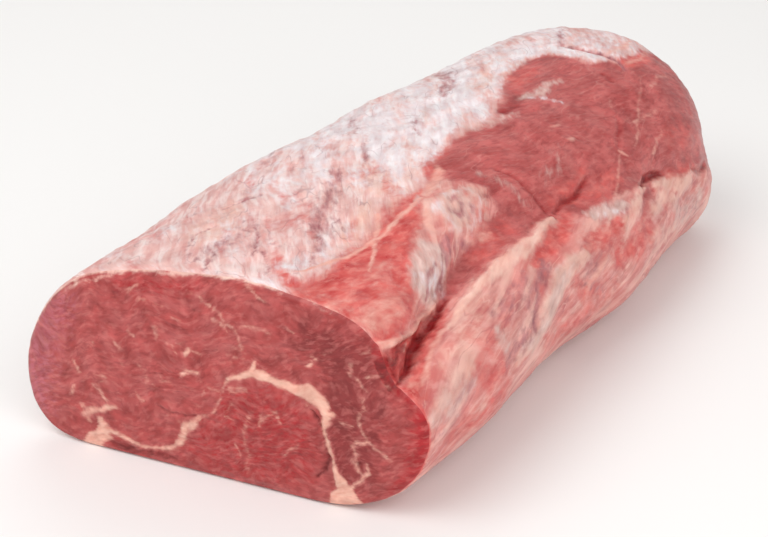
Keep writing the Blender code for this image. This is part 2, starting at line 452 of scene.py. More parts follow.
    def placed(self, points: Array, along: Array) -> Array:
        """Points of rings as points in space.

        Args:
            points: (across, up) for each point.
            along: millimetres from the front cut, for each point.

        Returns:
            (x, y, z) for each point.
        """
        across = points[..., 0]
        y = self.front_middle_y + along + across * self.slope(along / self.length)
        return np.stack([across, y, points[..., 1]], axis=-1)

    def outward(self, grid: Array) -> Array:
        """The unit normals of a grid whose columns wrap round."""
        around = np.roll(grid, -1, axis=1) - np.roll(grid, 1, axis=1)
        normals = np.cross(around, np.gradient(grid, axis=0))
        length = np.linalg.norm(normals, axis=-1, keepdims=True)
        return normals / np.maximum(length, 1e-9)

    def raised_wall(self, relief: Array) -> Array:
        """The wall in space with relief on it and its front rim rounded.

        Args:
            relief: how far each point stands out, in millimetres.

        Returns:
            A point for each row and column.
        """
        plain = self.placed(self.wall, self.skin.along)
        normals = self.outward(plain)
        lift = smooth_step(0.0, self.foot_fade, self.skin.up)
        points = plain + normals * (relief * lift)[..., None]
        turn = np.linspace(0.0, math.pi / 2, self.rim_rows)
        for j in range(self.rim_rows):
            inset = (1.0 - math.sin(turn[j])) * (self.foot_rim + (self.rim - self.foot_rim) * lift[j])
            points[j, :, 0] -= inset * normals[self.rim_rows, :, 0]
            points[j, :, 2] -= inset * normals[self.rim_rows, :, 2]
        points[..., 2] = np.maximum(points[..., 2], 0.0)
        return points

    def cut(self, rim: Array, rows: int) -> Array:
        """Rows that run from a rim in to the middle of its cut face.

        Args:
            rim: the rim's points.
            rows: how many rows to make, the rim not counted.

        Returns:
            A point for each row and column. The last row is close round the middle.
        """
        middle = rim.mean(axis=0)
        share = np.linspace(0.0, self.cut_reach, rows + 1)[1:]
        return rim + (middle - rim) * share[:, None, None]


def wrinkle(path: Pairs, wide: float, strength: float, depth: float) -> tuple[Mark, ...]:
    """A fold of the membrane: a thin dark core in a soft dusky zone.

    Args:
        path: the places it runs through, in millimetres.
        wide: half the width of the zone, in millimetres.
        strength: how much of the core's colour shows.
        depth: how deep the fold is, in millimetres.

    Returns:
        The marks.
    """
    zone = (0.2 * wide, wide, 0.7 * wide, wide, 0.2 * wide)
    core = (0.1, 0.35, 0.2, 0.4, 0.1)
    return streaks_of(
        Tissue.PURPLE,
        (path, zone, 3.0 + wide, 0.5 * strength),
        (path, core, 1.3, strength, -depth),
    )


# What lies where on the wall. Places are (round from the crown to the right, along from the front cut).
FAT_COVER = Patch(
    Tissue.FAT,
    (
        (-400, -30), (30, -30), (32, 4), (35, 14), (35, 26), (33, 45), (31, 62), (27, 80), (26, 92),
        (30, 104), (27, 118), (22, 128), (18, 140), (16, 150), (13, 165), (12, 178), (14, 195), (9, 205),
        (5, 215), (1, 225), (-4, 236), (-9, 248), (-9, 264), (-11, 276), (-3, 285), (8, 286), (20, 290),
        (24, 298), (8, 302), (-6, 304), (-10, 315), (-14, 330), (-20, 345), (-40, 400), (-400, 400),
    ),
    soft=4.5,
    rise=0.6,
)
BARE_LEAN = Patch(
    Tissue.LEAN,
    (
        (18, 146), (22, 130), (28, 120), (36, 128), (50, 134), (60, 128), (64, 112), (66, 92), (70, 80),
        (72, 66), (76, 54), (79, 50), (77, 70), (77, 95), (76, 125), (74, 150), (78, 160), (84, 172),
        (84, 200), (86, 215), (88, 235), (88, 250), (92, 262), (98, 280), (98, 300), (102, 330), (110, 400),
        (26, 400), (28, 340), (30, 310), (34, 300), (24, 296), (20, 283), (5, 284), (-6, 281), (-9, 270),
        (-8, 255), (-3, 240), (3, 226), (10, 214), (12, 204), (15, 195), (14, 178), (16, 160),
    ),
    soft=3.5,
    rise=-0.4,
)
SHOULDER_MARKS: tuple[Mark, ...] = (
    # the bloody patch behind the front rim, the flap beside it, and the patch's tail
    Patch(
        Tissue.BLOOD,
        (
            (37, 2), (50, -6), (78, -6), (79, 18), (76, 32), (70, 41), (62, 46), (55, 56), (50, 66),
            (46, 80), (41, 92), (37, 101), (34, 114), (29, 112), (29, 100), (31, 88), (34, 72), (36, 56),
            (37, 40), (38, 22),
        ),
        3.5, 0.72,
    ),
    *streaks_of(
        Tissue.BLOOD,
        (((45, 14), (44, 30), (42, 45), (46, 58), (41, 74), (38, 88)), (4.5, 6.5, 6.5, 4.5), 5.0),
        (((28, 10), (34, 8)), (1.6, 2.2), 2.5, 0.9),
        (((62, 34), (56, 46), (51, 60)), (2.5, 3.0), 4.0, 0.95),
    ),
    Streak(Tissue.LEAN, ((42, 64), (43, 74), (40, 84)), (2.0, 3.0, 2.0), 4.0, 0.35),
    Streak(Tissue.LEAN, ((36, 92), (33, 104)), (2.5, 2.0), 3.0, 0.4),
    # the flap's pale edge, which stands up above the seam
    *streaks_of(
        Tissue.THREAD,
        (
            ((75, -2), (78.5, 8), (80.5, 20), (80.5, 30), (78, 41), (75.5, 52)),
            (1.0, 1.3, 1.1, 0.9, 0.7, 0.3), 1.4, 1.0, 1.6,
        ),
        (((66, 2), (68, 14), (67, 24)), (3.0, 4.5, 3.0), 6.0, 0.5, 0.6),
        (((52, 0), (54, 10)), (3.0, 2.0), 5.0, 0.35),
    ),
    # silverskin left on the shoulder
    Patch(
        Tissue.GREY,
        ((62, 43), (74, 43), (75, 54), (71, 66), (66, 77), (58, 80), (51, 75), (53, 62), (58, 51)),
        3.5, 0.85, 0.5,
    ),
    Streak(Tissue.WHITE, ((66, 50), (70, 58), (64, 68)), (3.0, 4.0, 2.5), 5.0, 0.42),
    *streaks_of(
        Tissue.PURPLE,
        (((72, 47), (66, 55), (62, 66)), (0.4, 0.8, 0.4), 1.6, 0.7, -0.3),
        (((73, 58), (68, 66), (62, 75)), (0.4, 0.8, 0.4), 1.6, 0.7, -0.3),
        (((66, 74), (60, 82), (56, 90)), (1.0, 2.0, 1.0), 3.0, 0.7, -0.3),
        (((59, 84), (64, 92)), (2.0, 2.4), 4.0, 0.5),
    ),
    # the knob of fat and the dark marks on it
    Patch(
        Tissue.CREAM,
        (
            (44, 94), (54, 92), (60, 97), (59, 106), (57, 116), (53, 126), (49, 131), (44, 128), (41, 120),
            (39, 110), (40, 100),
        ),
        5.0, 0.6, 1.2,
    ),
    Patch(Tissue.GREY, ((42, 97), (57, 95), (60, 108), (53, 124), (46, 126), (40, 112)), 6.0, 0.55),
    Streak(Tissue.WHITE, ((42, 106), (45, 98), (54, 95)), (0.8, 1.4, 0.6), 4.0, 0.45),
    Streak(
        Tissue.WHITE,
        ((44, 97), (54, 94), (60, 101), (59, 112), (53, 121), (46, 122), (42, 113), (42, 103), (45, 97)),
        (0.8, 1.6, 1.2, 0.9, 1.2, 1.6, 1.0, 1.2, 0.8), 4.5, 0.25, 0.5,
    ),
    Streak(
        Tissue.PURPLE, ((45, 113), (46.5, 107), (50, 103.5), (53, 104), (52, 108), (49.5, 111)),
        (0.4, 0.9, 1.2, 0.6, 1.1, 0.3), 2.4, 0.7, -0.7,
    ),
    Streak(Tissue.PURPLE, ((57.5, 104), (56, 110), (52.5, 116)), (0.3, 1.0, 0.4), 3.0, 0.55, -0.4),
    Streak(Tissue.BLOOD, ((44, 120), (52, 118), (58, 112)), (1.6, 2.0, 1.4), 5.0, 0.4),
    Streak(Tissue.BLOOD, ((62, 100), (61, 110), (57, 120)), (1.6, 2.0, 1.4), 5.0, 0.4),
    # a crease at the foot of the knob, its dark red partly painted shade
    Streak(Tissue.DEEP, ((52, 124), (54, 132), (52, 142)), (0.5, 1.2, 0.5), 2.5, 0.4, -0.6),
    Streak(Tissue.GREY, ((36, 96), (33, 106), (34, 118)), (0.6, 1.2, 0.8), 2.5, 0.6),
    # pale threads between the cover and the bloody patch
    *streaks_of(
        Tissue.THREAD,
        (((30, 16), (36, 38), (38, 60), (36, 86), (35, 104)), (0.4, 0.7, 0.5, 0.7, 0.4), 1.3, 0.95, 0.4),
        (((50, 34), (42, 50), (35, 64), (29, 78)), (0.3, 0.6, 0.5), 1.3, 0.9, 0.3),
        (((52, 20), (53, 34), (50, 46)), (0.4, 0.7, 0.4), 2.0, 0.5),
        (((41, 96), (46, 88), (54, 84)), (0.5, 0.8, 0.3), 1.5, 0.6),
        (((34, 108), (31, 122), (26, 134)), (1.4, 1.8, 1.0), 2.5, 0.75),
    ),
    # the membrane over the second lobe of lean
    Streak(Tissue.GREY, ((14, 224), (17, 236), (15, 248), (19, 256)), (1.6, 2.4, 1.8, 0.8), 4.0, 0.7),
    Streak(Tissue.WHITE, ((18, 228), (23, 233), (30, 236)), (0.8, 1.0, 0.4), 3.4, 0.4),
    *streaks_of(
        Tissue.GREY,
        (((13, 178), (17, 192), (20, 204)), (2.0, 3.0, 2.0), 5.0, 0.5),
        (((60, 170), (56, 184), (50, 196)), (2.0, 3.0, 1.5), 7.0, 0.2),
        (((40, 142), (52, 146), (64, 148)), (1.5, 2.0, 1.0), 4.0, 0.35),
    ),
    # specks and threads of fat on the lean
    *streaks_of(
        Tissue.THREAD,
        (((49.5, 206), (50.5, 211)), (0.5, 0.3), 1.6, 0.65, 0.3),
        (((68, 233.5), (72, 237)), (0.5, 0.3), 1.6, 0.65, 0.3),
        (((40, 209), (40.5, 213)), (0.5, 0.4), 1.8, 0.6),
        (((45, 263), (50, 256)), (0.4, 0.3), 1.8, 0.5),
        (((79, 260), (75, 269), (72.5, 278)), (0.3, 0.5, 0.3), 2.4, 0.55),
        (((62, 262), (61, 274), (63, 288)), (0.3, 0.3, 0.2), 2.2, 0.5),
        (((70, 248), (64, 262), (55, 276), (48, 292)), (0.3, 0.5, 0.4, 0.2), 1.8, 0.5),
        (((84, 206), (78, 220), (70, 232)), (0.4, 0.8, 0.3), 2.0, 0.5),
        (((66, 104), (68, 112)), (1.4, 1.0), 2.0, 0.5),
        (((31, 302), (33, 320), (30, 340)), (0.8, 0.6), 2.0, 0.5),
        (((50, 300), (47, 316), (50, 334)), (0.4, 0.6, 0.4), 2.0, 0.45),
    ),
    # brighter and darker stretches of the lean
    *streaks_of(
        Tissue.BLOOD,
        (((18, 150), (20, 134), (28, 124)), (1.0, 2.5, 2.5), 4.0, 0.6),
        (((-2, 262), (0, 248), (5, 236)), (4.0, 5.0, 3.0), 6.0, 0.6),
        (((74, 176), (78, 196), (76, 222)), (2.0, 4.0, 3.0), 6.0, 0.5),
        (((31, 302), (33, 316), (32, 336)), (2.0, 3.4, 3.4), 3.0),
        (((72, 92), (70, 108), (68, 124)), (3.0, 4.0, 3.0), 6.0, 0.45),
        (((76, 282), (84, 300), (86, 320)), (4.0, 6.0, 5.0), 8.0, 0.35),
    ),
)
CREASES: tuple[Mark, ...] = (
    # the deep seam from the front cut, with its bloody walls. The brownish lean over its left wall is painted
    # shadow.
    Patch(
        Tissue.LEAN,
        ((80, -4), (93, -4), (91, 12), (86, 28), (81, 40), (79, 46), (78, 56), (76, 44), (81, 24)),
        3.0, 0.9, -0.8,
    ),
    Patch(Tissue.BLOOD, ((80, -4), (96, -4), (93, 8), (88, 20), (84, 32), (80, 40), (81, 14)), 3.0),
    # painted shade: the seam's dark core, the darkening over its left wall, and the darker red over the lit
    # facet at its mouth
    *streaks_of(
        Tissue.DEEP,
        (
            ((94.5, -3), (93.5, 4), (92, 12), (89, 20), (86, 28), (83, 38), (80, 48), (77.5, 60)),
            (0.2, 0.4, 0.7, 1.1, 1.2, 0.7, 0.8, 0.2), 1.8, 1.0, -2.2,
        ),
        (((91, -4), (89, 8), (87.5, 20), (84, 32), (80, 46)), (3.5, 3.5, 2.6, 1.8, 1.2), 6.0, 0.55),
        (((84, 4), (86, 12), (84, 22)), (0.8, 1.6, 0.8), 4.0, 0.4, -0.4),
        (((86, -4), (85, 6), (83, 18)), (4.0, 4.0, 2.4), 5.0, 0.72),
    ),
    Streak(Tissue.THREAD, ((84.5, 3), (86, 8)), (0.7, 0.5), 1.5, 0.6, 0.3),
    Streak(Tissue.THREAD, ((84, 14), (86, 17), (84, 21)), (0.5, 0.5), 1.5, 0.5, 0.3),
    Patch(
        Tissue.BLOOD,
        (
            (95, -6), (106, -6), (103, 6), (98, 18), (92, 30), (87, 42), (81, 54), (81, 44), (87, 30),
            (92, 18), (96, 6),
        ),
        3.0,
    ),
    # more creases on the shoulder and the flank: the dark red along them is partly painted shade
    Streak(
        Tissue.DEEP, ((74, 160), (73, 172), (73, 180), (71.5, 188), (69, 199)),
        (0.2, 0.5, 0.9, 0.7, 0.2), 2.4, 0.8, -2.0,
    ),
    Streak(Tissue.BLOOD, ((70, 166), (70, 182), (66, 198)), (2.0, 3.0, 2.0), 6.0, 0.5),
    *streaks_of(
        Tissue.DEEP,
        (((88, 236), (87, 246), (88.5, 256), (91, 264)), (0.5, 1.5, 1.4, 0.5), 2.2, 0.85, -2.2),
        (
            ((43, 152), (50, 155), (57, 155), (62, 158), (68, 158), (76, 155)),
            (0.5, 1.0, 0.5), 2.4, 0.5, -1.0,
        ),
        (((76, 132), (74, 146), (70, 158)), (0.8, 1.6, 0.8), 4.0, 0.35, -0.8),
        (((56, 252), (61, 243), (65, 236)), (0.6, 1.0, 0.5), 2.4, 0.5, -0.8),
        (((54, 215), (50, 211)), (0.8, 0.4), 1.6, 0.4, -0.5),
        (((30, 281), (37, 278)), (1.2, 0.8), 2.5, 0.4, -0.5),
        (((50, 268), (54, 280), (48, 292)), (5.0, 7.0, 4.0), 8.0, 0.3, -0.6),
        (((15, 205), (15, 214), (13, 222), (10, 229)), (1.6, 2.8, 2.2, 0.8), 3.5, 0.55, -0.8),
        (((98, 297), (102, 308), (100, 318)), (0.8, 1.6, 0.6), 3.0, 0.6, -1.5),
        (((73, 56), (71, 70), (71, 88)), (2.6, 3.0, 2.2), 4.0, 0.35, -0.8),
        (((93, 234), (94.5, 246)), (1.2, 0.6), 2.5, 0.4, -0.6),
    ),
    # the fold across the shoulder near the back, and the thin fat past it
    Patch(Tissue.FAT, ((-8, 304), (26, 303), (29, 320), (26, 420), (-40, 420), (-16, 320)), 4.0, 0.6),
    Streak(Tissue.WHITE, ((0, 308), (8, 322), (6, 342), (4, 362)), (1.6, 2.6, 1.6), 4.0, 0.6),
    Streak(Tissue.THREAD, ((20, 306), (22, 322), (18, 340)), (1.0, 1.4, 1.0), 3.0, 0.7),
    Streak(
        Tissue.PURPLE, ((-6, 302), (6, 302), (18, 303), (34, 299)),
        (0.8, 1.5, 1.5, 0.6), 2.5, 0.8, -1.2,
    ),
    Streak(
        Tissue.PURPLE, ((-5, 303), (-11, 312), (-16, 322), (-19, 332)),
        (0.8, 1.2, 1.0, 0.4), 2.5, 0.6, -0.7,
    ),
)
FLANK_MARKS: tuple[Mark, ...] = (
    # smooth strips of fat along the edge of the flank
    Streak(
        Tissue.CREAM,
        ((88, 44), (84, 62), (81, 80), (81, 96), (82, 112), (81, 128), (77.5, 146), (75.5, 154)),
        (0.6, 1.6, 2.0, 2.6, 3.0, 2.6, 1.4, 0.3), 2.4, 0.8, 1.4,
    ),
    Streak(
        Tissue.CREAM, ((118, 74), (117, 92), (110, 108), (103, 124), (99, 138), (100, 156)),
        (1.2, 2.4, 4.6, 5.0, 3.6, 1.2), 4.0, 0.8, 1.4,
    ),
    Patch(
        Tissue.GREY,
        (
            (116, 72), (120, 90), (116, 106), (108, 124), (98, 140), (96, 130), (104, 110), (112, 98),
            (114, 84),
        ),
        4.5, 0.8,
    ),
    *streaks_of(
        Tissue.CREAM,
        (((98, 194), (94, 212), (91, 226), (87.5, 242)), (2.0, 3.0, 2.4, 0.8), 3.0, 0.65, 1.0),
        (((93, 250), (95, 258), (99, 272), (103, 288)), (2.0, 2.6, 3.4, 2.4), 3.5, 0.75, 0.8),
        (((101, 232), (100, 248), (104, 262)), (1.6, 2.6, 2.4), 4.0, 0.6),
        (((113, 220), (117, 240), (118, 262)), (2.4, 3.6, 3.0), 6.0, 0.45, 0.6),
        (((100, 26), (95, 42), (90, 58), (86, 74)), (1.6, 2.6, 2.6, 2.0), 5.0, 0.4),
        (((111, 14), (108, 24), (104, 36)), (2.4, 4.0, 3.0), 6.0, 0.5),
    ),
    Streak(Tissue.GREY, ((113, 6), (113, 20), (112, 34)), (2.0, 4.0, 2.6), 6.0, 0.5),
    Streak(Tissue.GREY, ((84, 176), (87, 190), (90, 206)), (2.0, 3.0, 1.8), 3.5, 0.8),
    Streak(Tissue.WHITE, ((86, 178), (88, 192), (91, 200)), (0.6, 1.2, 0.5), 4.0, 0.35),
    Streak(Tissue.GREY, ((114, 262), (118, 282), (114, 300)), (4.0, 5.0, 3.5), 7.0, 0.6),
    Streak(Tissue.GREY, ((101, 64), (105, 66), (109, 63)), (1.6, 2.2, 1.4), 5.0, 0.6),
    Streak(
        Tissue.THREAD, ((97, 4), (99, 12), (96, 22), (91, 32), (87, 42)),
        (0.6, 1.2, 0.8, 0.8, 0.4), 1.8, 0.6, 0.5,
    ),
    Streak(Tissue.THREAD, ((113, 148), (110, 160), (106, 172)), (0.6, 1.1, 0.5), 2.2, 0.7, 0.3),
    # lean and blood that show through
    Streak(
        Tissue.BLOOD, ((89, 114), (87, 130), (85, 146), (79, 162)),
        (1.4, 3.2, 4.0, 2.0), 4.5, 0.85, -0.8,
    ),
    Streak(Tissue.LEAN, ((88, 122), (86, 138), (82, 150)), (1.2, 2.2, 1.4), 3.5, 0.7, -0.4),
    Streak(Tissue.BLOOD, ((95, 160), (97, 176), (97, 192)), (3.0, 4.5, 3.0), 5.0, 0.65),
    Streak(
        Tissue.BLOOD, ((108, 182), (110, 198), (108, 212), (104, 224)),
        (3.6, 5.0, 4.6, 2.2), 7.0, 0.7, -0.5,
    ),
    Streak(Tissue.LEAN, ((107, 182), (112, 182), (117, 187)), (1.0, 1.6, 0.8), 3.0, 0.7, -0.5),
    *streaks_of(
        Tissue.BLOOD,
        (((108, 140), (114, 146), (118, 160)), (4.0, 5.0, 3.0), 6.0, 0.6),
        (((112, 40), (117, 50), (118, 62)), (3.0, 5.0, 3.0), 6.0, 0.65),
        (((104, 0), (101, 8)), (4.0, 2.0), 6.0, 0.6),
        (((96, 48), (103, 54), (101, 60)), (2.0, 3.0, 2.0), 5.0, 0.4),
        (((129, 22), (131, 44), (127, 62)), (4.0, 5.0, 4.0), 8.0, 0.65),
        (((122, 106), (127, 130), (124, 176)), (3.0, 5.0, 4.0), 8.0, 0.5),
        (((98, 300), (96, 284), (94, 268)), (1.8, 2.2, 1.2), 3.0, 0.6),
    ),
    Streak(Tissue.LEAN, ((99, 216), (95, 230), (91, 246)), (1.6, 2.6, 2.0), 4.0, 0.6, -0.4),
    Streak(Tissue.LEAN, ((104, 240), (104.5, 256)), (0.8, 1.6), 4.0, 0.45),
    *streaks_of(
        Tissue.PURPLE,
        (
            ((115, 64), (113, 78), (111, 92), (104, 101), (97, 109), (92, 122)),
            (1.0, 1.8, 2.4, 1.4, 2.0, 1.0), 6.0, 0.65, -0.6,
        ),
        (((96, 78), (97, 92), (93, 104)), (3.0, 4.0, 2.0), 8.0, 0.42),
        (((108, 144), (108, 156), (104, 168)), (0.8, 1.4, 0.8), 4.5, 0.5, -0.5),
        (((114, 154), (118, 166)), (1.2, 1.4), 5.0, 0.4, -0.3),
        (((93.5, 68), (94.5, 71)), (1.0, 0.8), 2.5, 0.6, -0.4),
        (((84, 198), (86, 194)), (0.9, 0.6), 2.5, 0.6, -0.4),
        (((92, 204), (95, 202)), (0.9, 0.6), 2.5, 0.6, -0.4),
        (((122, 8), (113, 32)), (2.0, 3.0), 8.0, 0.3),
        (((112, 270), (119, 290)), (3.0, 4.0), 8.0, 0.35),
    ),
)
COVER_MARKS: tuple[Mark, ...] = (
    # wrinkles where the membrane is thin and the dark muscle shows
    *wrinkle(((7, 20), (3, 29), (-2, 37), (-8, 45), (-14, 54)), 1.4, 0.9, 0.8),
    *wrinkle(((-8, 42), (-16, 46), (-18, 53)), 0.8, 0.8, 0.5),
    *wrinkle(((21, 9), (16, 18), (10, 25)), 0.8, 0.9, 0.5),
    *wrinkle(((-2, 4), (-6, 13), (-10, 23)), 1.0, 0.9, 0.4),
    *wrinkle(((28, 26), (24, 36), (20, 45)), 1.4, 0.7, 0.4),
    *wrinkle(((-39, 65), (-35, 73), (-28, 78)), 1.6, 0.8, 0.4),
    *wrinkle(((-1, 118), (-8, 128), (-16, 140)), 1.0, 0.8, 0.5),
    *wrinkle(((0, 158), (-7, 164), (-12, 172), (-15, 180)), 1.6, 0.7, 0.6),
    *wrinkle(((12, 98), (9, 108), (10, 118)), 0.8, 0.6, 0.3),
    *wrinkle(((-24, 20), (-30, 34), (-28, 46)), 1.0, 0.6, 0.4),
    *wrinkle(((-48, 30), (-54, 48), (-50, 62)), 1.4, 0.55, 0.5),
    *wrinkle(((-30, 104), (-34, 118), (-42, 128)), 1.2, 0.6, 0.5),
    Streak(
        Tissue.PURPLE, ((25, 38), (18, 50), (12, 57), (8, 66), (5, 76), (1, 87), (-4, 98), (-9, 109)),
        (0.4, 2.4, 1.8, 1.8, 1.6, 1.0, 1.8, 0.4), 5.0, 0.6, -0.8,
    ),
    *wrinkle(((24, 40), (17, 51), (13, 57), (7, 67), (6, 76), (0, 88), (-5, 99)), 1.0, 0.7, 0.3),
    Patch(Tissue.PURPLE, ((24, 38), (12, 48), (0, 70), (-6, 96), (4, 92), (16, 70), (26, 52)), 7.0, 0.35),
    Streak(Tissue.DEEP, ((19, 46), (16, 51)), (1.2, 1.0), 3.0, 0.35),
    Streak(Tissue.PURPLE, ((-7, 101), (-10, 107)), (1.6, 1.0), 3.0, 0.7, -0.3),
    Streak(Tissue.PURPLE, ((-14, 14), (-12, 26), (-10, 38)), (2.5, 3.5, 2.0), 8.0, 0.4),
    Streak(Tissue.GREY, ((-10, 174), (-15, 186), (-20, 198)), (0.5, 1.0, 0.5), 2.5, 0.8, -0.4),
    Streak(Tissue.GREY, ((-22, 150), (-12, 160), (-10, 176)), (2.0, 3.0, 2.0), 7.0, 0.5),
    *streaks_of(
        Tissue.PURPLE,
        (
            ((-20, 208), (-26, 224), (-35, 237), (-45, 247), (-56, 257)),
            (0.8, 2.4, 3.0, 2.2, 0.8), 4.0, 0.6, -0.8,
        ),
        (((-30, 150), (-38, 162), (-50, 176)), (0.6, 1.2, 0.8), 4.0, 0.45, -0.5),
        (((-40, 105), (-50, 116), (-60, 130)), (0.8, 1.4, 0.8), 4.0, 0.45, -0.5),
    ),
    # creamier fat, and whiter fat along the front rim
    Patch(Tissue.CREAM, ((-20, 212), (-2, 214), (-7, 240), (-10, 266), (-24, 264), (-23, 236)), 8.0, 0.6),
    Patch(Tissue.CREAM, ((6, 92), (24, 92), (27, 104), (17, 136), (4, 152), (-4, 122)), 8.0, 0.5),
    Patch(Tissue.CREAM, ((-34, 34), (-20, 22), (-16, 40), (-26, 66), (-40, 78), (-44, 60)), 8.0, 0.5),
    Patch(Tissue.CREAM, ((33, 46), (31, 62), (27, 82), (19, 86), (21, 66), (27, 50)), 4.0, 0.7),
    Patch(Tissue.WHITE, ((-12, 0), (0, 4), (14, 3), (26, 8), (33, 4), (34, -6), (-14, -6)), 5.0, 0.58),
    Streak(Tissue.WHITE, ((24, 18), (26, 28)), (3.0, 3.0), 6.0, 0.55),
    *streaks_of(
        Tissue.BLOOD,
        (((2, 104), (5, 116), (2, 124)), (2.0, 3.0, 2.0), 6.0, 0.45),
        (((-60, 8), (-66, 40), (-74, 80)), (4.0, 5.0, 4.0), 9.0, 0.4),
        (((0, 48), (4, 60), (0, 72)), (3.0, 4.0, 3.0), 8.0, 0.4),
    ),
    # the left side, which the photograph doesn't show: folds, thin places and thicker, creamier fat
    Streak(
        Tissue.PURPLE, ((-92, 30), (-104, 62), (-112, 100), (-126, 134)),
        (0.3, 1.2, 0.9, 0.3), 3.5, 0.6, -1.1,
    ),
    Streak(
        Tissue.PURPLE, ((-80, 250), (-96, 276), (-108, 300), (-112, 326)),
        (0.3, 1.4, 1.0, 0.3), 3.5, 0.55, -0.9,
    ),
    *streaks_of(
        Tissue.BLOOD,
        (((-96, 20), (-108, 58), (-118, 100), (-132, 140)), (1.5, 4.0, 3.0, 1.0), 7.0, 0.5),
        (((-98, 190), (-112, 220), (-128, 250)), (2.0, 4.0, 2.0), 8.0, 0.55),
        (((-70, 128), (-84, 150), (-92, 176)), (1.0, 2.5, 1.0), 7.0, 0.4),
    ),
    Patch(
        Tissue.CREAM, ((-72, 182), (-96, 172), (-118, 186), (-112, 214), (-92, 232), (-78, 214)),
        11.0, 0.55,
    ),
    Patch(Tissue.CREAM, ((-122, 24), (-140, 40), (-148, 92), (-134, 112), (-120, 66)), 11.0, 0.5),
    Patch(Tissue.GREY, ((-96, 284), (-124, 268), (-140, 296), (-132, 336), (-100, 340)), 10.0, 0.45),
)


def marbling(seed: int, count: int, middle: Pair, reach: Pair, tilt: float) -> tuple[Mark, ...]:
    """Short faint threads and specks of fat, scattered in one muscle of a cut.

    Args:
        seed: picks the places.
        count: how many there are.
        middle: the middle of the muscle, across and up, in millimetres.
        reach: how far the muscle reaches across and up from there.
        tilt: which way most of them lie, in radians.

    Returns:
        The streaks.
    """
    chance = random.Random(seed)
    soft = 1.8
    marks = []
    for _ in range(count):
        turn, far = chance.uniform(0, 2 * math.pi), math.sqrt(chance.random())
        place = (middle[0] + reach[0] * far * math.cos(turn), middle[1] + reach[1] * far * math.sin(turn))
        path, heading = [place], tilt + chance.gauss(0, 0.7)
        for _ in range(chance.choice((1, 2, 2, 3))):
            heading += chance.gauss(0, 0.6)
            step = chance.uniform(1.2, 3.6)
            path.append((path[-1][0] + step * math.cos(heading), path[-1][1] + step * math.sin(heading)))
        widest = chance.uniform(0.1, 0.45)
        strength = chance.uniform(0.2, 0.5)
        marks.append(Streak(Tissue.CREAM, tuple(path), (0.3 * widest, widest, 0.2 * widest), soft, strength))
    return tuple(marks)


